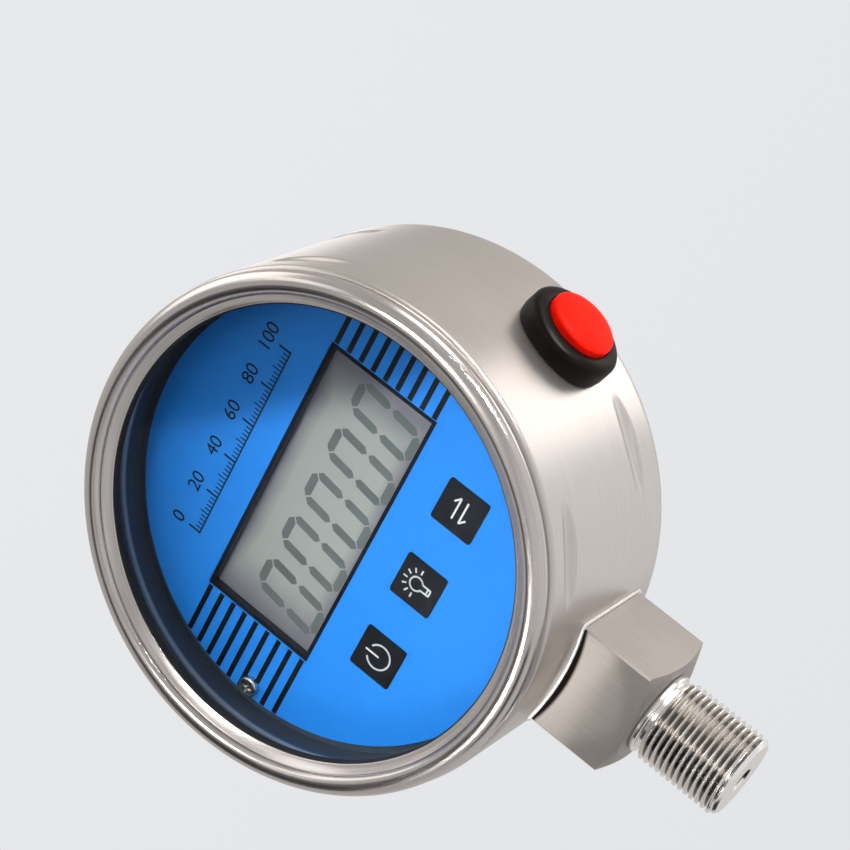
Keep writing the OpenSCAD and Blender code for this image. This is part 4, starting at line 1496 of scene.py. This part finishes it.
@dataclass
class Connection:
    """The square block with its relief, and the thread that is cut on the stud."""

    major_r: float = 10.0
    thread_depth: float = 0.92
    pitch: float = 1.5
    crest_share: float = 0.14
    flank_share: float = 0.62
    length: float = 19.4
    tip: float = 1.2
    run_out_slope: float = 1.3
    relief_r: float = 8.7
    relief_fillet: float = 0.15
    neck_r: float = 9.7
    neck_low: float = 20.3
    neck_low_round: float = 0.3
    neck_high_round: float = 0.45
    neck_gap: float = 0.02
    block_low: float = 21.8
    port_r: float = 2.5
    port_chamfer: float = 0.5
    cutter_over: float = 2.0
    cutter_low: float = -5.0
    cutter_sides: int = 128
    columns: int = 144
    rows_per_turn: int = 12
    spare_turns: int = 3
    merge: float = 0.002

    @staticmethod
    def spot(r: float, a: float, h: float) -> Vec3:
        """A point at radius r, angle a and height h on the stud's axis."""
        return (r * math.cos(a), r * math.sin(a), h)

    def thread(self, steel: Material) -> None:
        """Cuts the helix into a grid whose rows follow it, then closes the ends and the port.

        Args:
            steel: its finish.
        """
        rule = Rule("stud_thread")
        major = rule.size("Major radius", self.major_r * MM)
        depth = rule.size("Thread depth", self.thread_depth * MM)
        pitch = rule.size("Pitch", self.pitch * MM)
        length = rule.size("Length", self.length * MM)
        tip = rule.size("Tip chamfer", self.tip * MM)
        relief = rule.size("Relief radius", self.relief_r * MM)
        turns = int((self.length + self.tip) / self.pitch) + self.spare_turns
        grid = rule.add("GeometryNodeMeshGrid", None, Size_X=1.0, Size_Y=1.0, Vertices_X=self.columns + 1,
                        Vertices_Y=turns * self.rows_per_turn + 1)
        split = rule.add("ShaderNodeSeparateXYZ", None, rule.add("GeometryNodeInputPosition"))
        # u runs from 0 to 1 round the stud, and v counts the turns along it.
        u = rule.add(MATH, "ADD", (split, "X"), 0.5)
        v = rule.add(MATH, "MULTIPLY", rule.add(MATH, "ADD", (split, "Y"), 0.5), float(turns))
        climb = rule.add(MATH, "ADD", rule.add(MATH, "SUBTRACT", v, 1.0), u)
        raw = rule.add(MATH, "SUBTRACT", rule.add(MATH, "MULTIPLY", climb, pitch), tip)
        low = rule.add(MATH, "MULTIPLY", tip, -1.0)
        z = rule.add(MATH, "MINIMUM", rule.add(MATH, "MAXIMUM", raw, low), length)
        # The profile falls from crest to root over the flank's share of half a pitch.
        double = rule.add(MATH, "MULTIPLY", rule.add(MATH, "FRACT", v), 2.0)
        phase = rule.add(MATH, "ABSOLUTE", rule.add(MATH, "SUBTRACT", double, 1.0))
        fallen = rule.add(MATH, "SUBTRACT", phase, self.crest_share)
        cut = rule.add(MATH, {"operation": "MULTIPLY", "use_clamp": True}, fallen, 1 / self.flank_share)
        profile = rule.add(MATH, "SUBTRACT", major, rule.add(MATH, "MULTIPLY", cut, depth))
        # The tip's chamfer and the run-out into the relief limit the radius.
        nose = rule.add(MATH, "ADD", z, major)
        left = rule.add(MATH, "SUBTRACT", length, z)
        end = rule.add(MATH, "MULTIPLY_ADD", left, self.run_out_slope, relief)
        r = rule.add(MATH, "MINIMUM", rule.add(MATH, "MINIMUM", profile, nose), end)
        angle = rule.add(MATH, "MULTIPLY", u, 2 * math.pi)
        x, y = (rule.add(MATH, "MULTIPLY", r, rule.add(MATH, way, angle)) for way in ("COSINE", "SINE"))
        at = rule.add("ShaderNodeCombineXYZ", None, x, y, z)
        moved = rule.add("GeometryNodeSetPosition", None, grid, Position=at)
        closed = rule.add("GeometryNodeMergeByDistance", None, moved, Distance=self.merge * MM)
        mesh = rule.run(closed, steel)
        self.close(mesh)
        place(mesh_object("stud_thread", mesh, smooth=28), steel, Body.GAUGE, "connection_block")

    def close(self, mesh: Mesh) -> None:
        """Closes the thread's two open ends down the port.

        Args:
            mesh: the open thread.
        """
        bm = bmesh.new()
        bm.from_mesh(mesh)
        up, low = [(self.port_r, self.length)], -self.tip
        down = [(self.port_r + self.port_chamfer, low), (self.port_r, low + self.port_chamfer)] + up
        open_verts = [(math.atan2(v.co.y, v.co.x), v) for v in bm.verts if v.is_boundary]
        open_verts.sort(key=lambda pair: pair[0])
        for top, stations in ((False, down), (True, up)):
            rim = [(a, v) for a, v in open_verts if (v.co.z > self.length / 2 * MM) == top]
            for r, z in stations:
                ring = [(a, bm.verts.new(Vector(self.spot(r, a, z)) * MM)) for a, _ in rim]
                for k in range(len(rim)):
                    bm.faces.new((rim[k - 1][1], rim[k][1], ring[k][1], ring[k - 1][1]))
                rim = ring
        bm.to_mesh(mesh)
        bm.free()

    def neck(self, steel: Material) -> None:
        """Turns the relief and the ring with its rounded edges, between thread and block.

        Args:
            steel: their finish.
        """
        low, high, fillet = self.neck_low, self.block_low, self.relief_fillet
        first, second = self.neck_low_round, self.neck_high_round
        outline = ([(self.port_r, self.length), (self.relief_r, self.length), (self.relief_r, low - fillet),
                    (self.relief_r + fillet, low)]
                   + arc(self.neck_r - first, low + first, first, -90, 0, n=6)
                   + arc(self.neck_r - second, high - second - self.neck_gap, second, 0, 80, n=8)
                   + [(self.port_r, high)])
        ring = turned("stud_neck", self.spot, outline, self.columns)
        place(ring, steel, Body.GAUGE)

    def block(self, steel: Material) -> None:
        """Takes a copy of the CAD's block and cuts its stud and neck off.

        Args:
            steel: its finish.
        """
        smooth = 12
        body = linked("square_block", frame["nodes"]["connection_block"].data.copy())
        tidy_mesh(body.data, smooth)
        cutter = round_bar("stud_cut", self.spot, self.major_r + self.cutter_over, self.cutter_low,
                           self.block_low, self.cutter_sides)
        cut_away(body, cutter, smooth)
        place(body, steel, Body.GAUGE)


# Studio


@dataclass(frozen=True)
class Lamp:
    """A soft box that stands at a spot and looks at an aim; a spread under 180 degrees is a grid on it."""

    name: str
    spot: Vec3
    aim: Vec3
    size: Point
    power: float
    spread: float = 180.0

    def build(self) -> None:
        """Adds the lamp."""
        data = bpy.data.lights.new(self.name, "AREA")
        data.shape, data.size, data.size_y = "RECTANGLE", self.size[0] * MM, self.size[1] * MM
        data.energy, data.spread = self.power, math.radians(self.spread)
        lamp = linked(self.name, data)
        lamp.location = Vector(self.spot) * MM
        lamp.rotation_euler = (Vector(self.aim) - Vector(self.spot)).to_track_quat("-Z", "Y").to_euler()
        lamp.visible_camera = False


@dataclass
class Studio:
    """Floor, world, lamps, cards and the camera."""

    case: Vec3 = (0, 0, 97)
    key: Vec3 = Gauge.at(230, 240, -850)
    dark: str = "#050506"
    sky_low: str = "#DADCE0"
    sky_high: str = "#F4F5F7"
    sky_glow: float = 0.95
    plain_light: str = "#F3F4F6"
    table_low: str = "#E2E3E6"
    table_high: str = "#E9EAED"
    room_front: str = "#CDCDCE"
    room_back: str = "#D7D4D1"
    room_front_y: float = -0.6
    room_back_y: float = 0.8
    ambient: float = 0.25
    glow_front: float = 0.2
    glow: float = 0.38
    glow_front_y: float = -300.0
    glow_y: float = -50.0
    fade_from: float = 600.0
    fade_to: float = 1900.0
    floor_half: float = 2000.0
    floor_low: float = -300.0
    floor_grain: float = 25.0
    sensor: float = 36.0
    lens: float = 114.35
    near: float = 20.0
    far: float = 10000.0
    eye: Vec3 = (294.8, -482.4, -71.6)
    right: Vec3 = (0.4217, 0.5042, -0.7536)
    up: Vec3 = (0.7734, 0.2339, 0.5892)
    back: Vec3 = (0.4733, -0.8313, -0.2913)

    def world(self) -> None:
        """A pale surround behind, darker in front of the dial, and a plain level of light."""
        world = bpy.data.worlds.new("studio")
        bpy.context.scene.world = world
        nodes = Nodes.fresh(world)
        way = nodes.add("ShaderNodeSeparateXYZ", None, (nodes.add("ShaderNodeTexCoord"), "Generated"))
        sky = nodes.add("ShaderNodeMapRange", None, (way, "Z"), From_Min=-1.0, From_Max=1.0)
        pale = ends(nodes.add("ShaderNodeValToRGB", None, sky), self.sky_low, self.sky_high)
        behind = nodes.add("ShaderNodeMapRange", None, (way, "Y"), From_Min=self.room_front_y,
                           From_Max=self.room_back_y)
        room = ends(nodes.add("ShaderNodeValToRGB", None, behind), self.room_front, self.room_back)
        path = nodes.add("ShaderNodeLightPath")
        seen = nodes.add(MATH, "MAXIMUM", (path, "Is Camera Ray"), (path, "Is Transmission Ray"))
        show = nodes.add("ShaderNodeBackground", None, pale, self.sky_glow)
        mirror = nodes.add("ShaderNodeBackground", None, room, 1.0)
        light = nodes.add("ShaderNodeBackground", None, linear(self.plain_light), self.ambient)
        plain = nodes.add("ShaderNodeMixShader", None, (path, "Is Glossy Ray"), light, mirror)
        nodes.add("ShaderNodeOutputWorld", None, nodes.add("ShaderNodeMixShader", None, seen, plain, show))

    def floor(self) -> None:
        """A pale light table under the stud, seen from above only, that fades out towards its edge."""
        material = bpy.data.materials.new("floor_card")
        nodes = Nodes.fresh(material)
        point, _, y, _ = nodes.places()
        noise = nodes.add("ShaderNodeTexNoise", None, point, Scale=1 / (self.floor_grain * MM), Detail=3.0)
        tone = ends(nodes.add("ShaderNodeValToRGB", None, noise), self.table_low, self.table_high)
        lit = nodes.add("ShaderNodeMapRange", None, y, From_Min=self.glow_front_y * MM,
                        From_Max=self.glow_y * MM, To_Min=self.glow_front, To_Max=self.glow)
        table = nodes.add("ShaderNodeBsdfPrincipled", None, tone, Roughness=0.7, Emission_Color=tone,
                          Emission_Strength=lit)
        away = (nodes.add("ShaderNodeVectorMath", "LENGTH", point), "Value")
        edge = nodes.add("ShaderNodeMapRange", SMOOTH, away, From_Min=self.fade_from * MM,
                         From_Max=self.fade_to * MM)
        under = (nodes.add("ShaderNodeNewGeometry"), "Backfacing")
        gone = nodes.add(MATH, "MAXIMUM", under, edge)
        mix = nodes.add("ShaderNodeMixShader", None, gone, table, nodes.add("ShaderNodeBsdfTransparent"))
        nodes.add("ShaderNodeOutputMaterial", None, mix)
        half = self.floor_half
        self.sheet("floor", [(x, y, self.floor_low) for x, y in box(-half, -half, half, half)], material)

    @staticmethod
    def sheet(name: str, corners: Sequence[Vec3], material: Material) -> Piece:
        """Adds a flat sheet that belongs to the studio.

        Args:
            name: its name.
            corners: its corners, in millimetres.
            material: its material.

        Returns:
            The object.
        """
        mesh = bpy.data.meshes.new(name)
        points = [tuple(c * MM for c in corner) for corner in corners]
        mesh.from_pydata(points, [], [tuple(range(len(points)))])
        obj = linked(name, mesh)
        mesh.materials.append(material)
        return obj

    def card(self, name: str, corners: Sequence[Vec3], tone: str, flag: bool = False,
             shadow: bool = True) -> None:
        """Adds a plain card that the camera doesn't see.

        Args:
            name: card's name.
            corners: its corners, in millimetres.
            tone: its colour.
            flag: whether it only keeps light off, and isn't mirrored in anything.
            shadow: whether it keeps light off.
        """
        card = self.sheet(name, corners, Moulded(f"{name}_card", tone, roughness=0.9).make())
        card.visible_camera = False
        if flag:
            card.visible_glossy = card.visible_diffuse = card.visible_transmission = False
        card.visible_shadow = shadow

    def shade(self, name: str, line: Vec3, run: Vec3, out: Vec3, share: float) -> None:
        """Keeps the key lamp off the dial beyond a line.

        Args:
            name: card's name.
            line: a point of the line.
            run: half of the shade, along the line.
            out: the shade's width, away from it.
            share: how far towards the lamp it stands; the nearer to the dial, the sharper its edge.
        """
        start, along, across, lamp = (Vector(v) for v in (line, run, out, self.key))
        corners = (start - along, start + along, start + along + across, start - along + across)
        self.card(name, [c + (lamp - c) * share for c in corners], self.dark, flag=True)

    def lamps(self) -> None:
        """Sets the key lamp, the soft boxes round the case, and small ones for stud, block and weld."""
        for lamp in (
                Lamp("key", self.key, Gauge.at(0, 0, 0), (200, 200), 3.6),
                Lamp("rim", (390, 632, -64), self.case, (330, 330), 0.65),
                Lamp("top", (-330, 760, 500), self.case, (420, 420), 0.75),
                Lamp("over", (150, -60, 950), self.case, (700, 600), 1.9),
                Lamp("high", (250, -560, 740), self.case, (300, 300), 0.35),
                Lamp("side", (900, 300, 300), (0, 0, 40), (500, 400), 1.8),
                Lamp("low", (40, 430, -190), self.case, (420, 320), 0.1),
                Lamp("front", (-250, -480, -40), (0, -13, 33), (90, 70), 0.012, 14),
                Lamp("stud", (120, -5, 45), (0, 0, 12), (110, 26), 0.01, 60),
                Lamp("accent", (395, -40, 0), (60, 3, 79), (60, 60), 0.02, 8)):
            lamp.build()

    def cards(self) -> None:
        """Sets what the front glass mirrors, dark over slate, and what darkens the dial and the block."""
        edge, up = Vector((-241.8, -447.4, 301.2)), Vector((0.662, -0.158, 0.733))
        near, far = (Vector((0.538, -0.58, -0.611)) * reach for reach in (-90, 115))
        for name, low, high, tone in (("mirror_high", 0, 62, self.dark), ("mirror_low", -185, 0, "#4C4F62")):
            corners = (near + up * low, far + up * low, far + up * high, near + up * high)
            self.card(name, [edge + corner for corner in corners], tone)
        self.shade("shade", Gauge.at(17.5, 18.2, Dial.face), (50.4, 0, -48.3), (41.4, 0, 43.2), 0.03)
        self.shade("shade_left", Gauge.at(-22, 29, Dial.face), (71.55, 0, 54.54), (-48.48, 0, 63.6), 0.22)
        side = [(-455, -205, 30), (-275, -435, 30), (-275, -435, 270), (-455, -205, 270)]
        self.card("dark_side", side, "#0A0A0B")
        below = [(0, -12, -25), (-70, -2, -25), (-70, 40, -25), (-8, 14, -25)]
        self.card("dark_below", below, self.dark, shadow=False)
        stud = [(x, -50, z) for x, z in box(-45, 4, 8, 27)]
        self.card("dark_stud", stud, self.dark, shadow=False)

    def camera(self) -> None:
        """The camera of the photograph, fitted to measured points."""
        data = bpy.data.cameras.new("camera")
        data.sensor_width, data.lens = self.sensor, self.lens
        data.clip_start, data.clip_end = self.near * MM, self.far * MM
        camera = linked("camera", data)
        turn = Matrix((self.right, self.up, self.back)).transposed().to_4x4()
        camera.matrix_world = Matrix.Translation(Vector(self.eye) * MM) @ turn
        bpy.context.scene.camera = camera

    def build(self) -> None:
        """Sets the whole studio."""
        self.world()
        self.floor()
        self.lamps()
        self.cards()
        self.camera()
        bpy.context.scene.view_settings.view_transform = "Standard"


def main() -> None:
    """Builds the scene."""
    logging.basicConfig(level=logging.INFO)
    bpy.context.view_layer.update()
    skins = finishes()
    smooth = SmoothCad()
    for node, slot in SLOTS.items():
        smooth.on(node, skins["weld_bead" if node == "weld_seam" else BY_SLOT[slot]])
    CaseCup().build(skins["drawn_steel"])
    Bezel().build(skins["turned_steel"])
    Well().build(skins["well_abs"], skins["nitrile_rubber"])
    dial = Dial()
    dial.stripes(skins["black_ink"])
    dial.segments(skins["crystal_ink"])
    dial.scale(skins["black_ink"])
    for column, body in ((-1, Body.KEY_POWER), (0, Body.KEY_LIGHT), (1, Body.KEY_UNIT)):
        Key(body, column).build(skins["white_ink"])
    Button().build(skins["collar_nylon"], skins["cap_nylon"])
    connection = Connection()
    connection.block(skins["ground_steel"])
    connection.neck(skins["thread_steel"])
    connection.thread(skins["thread_steel"])
    Studio().build()
    bpy.context.view_layer.update()


if __name__ == "__main__":
    main()
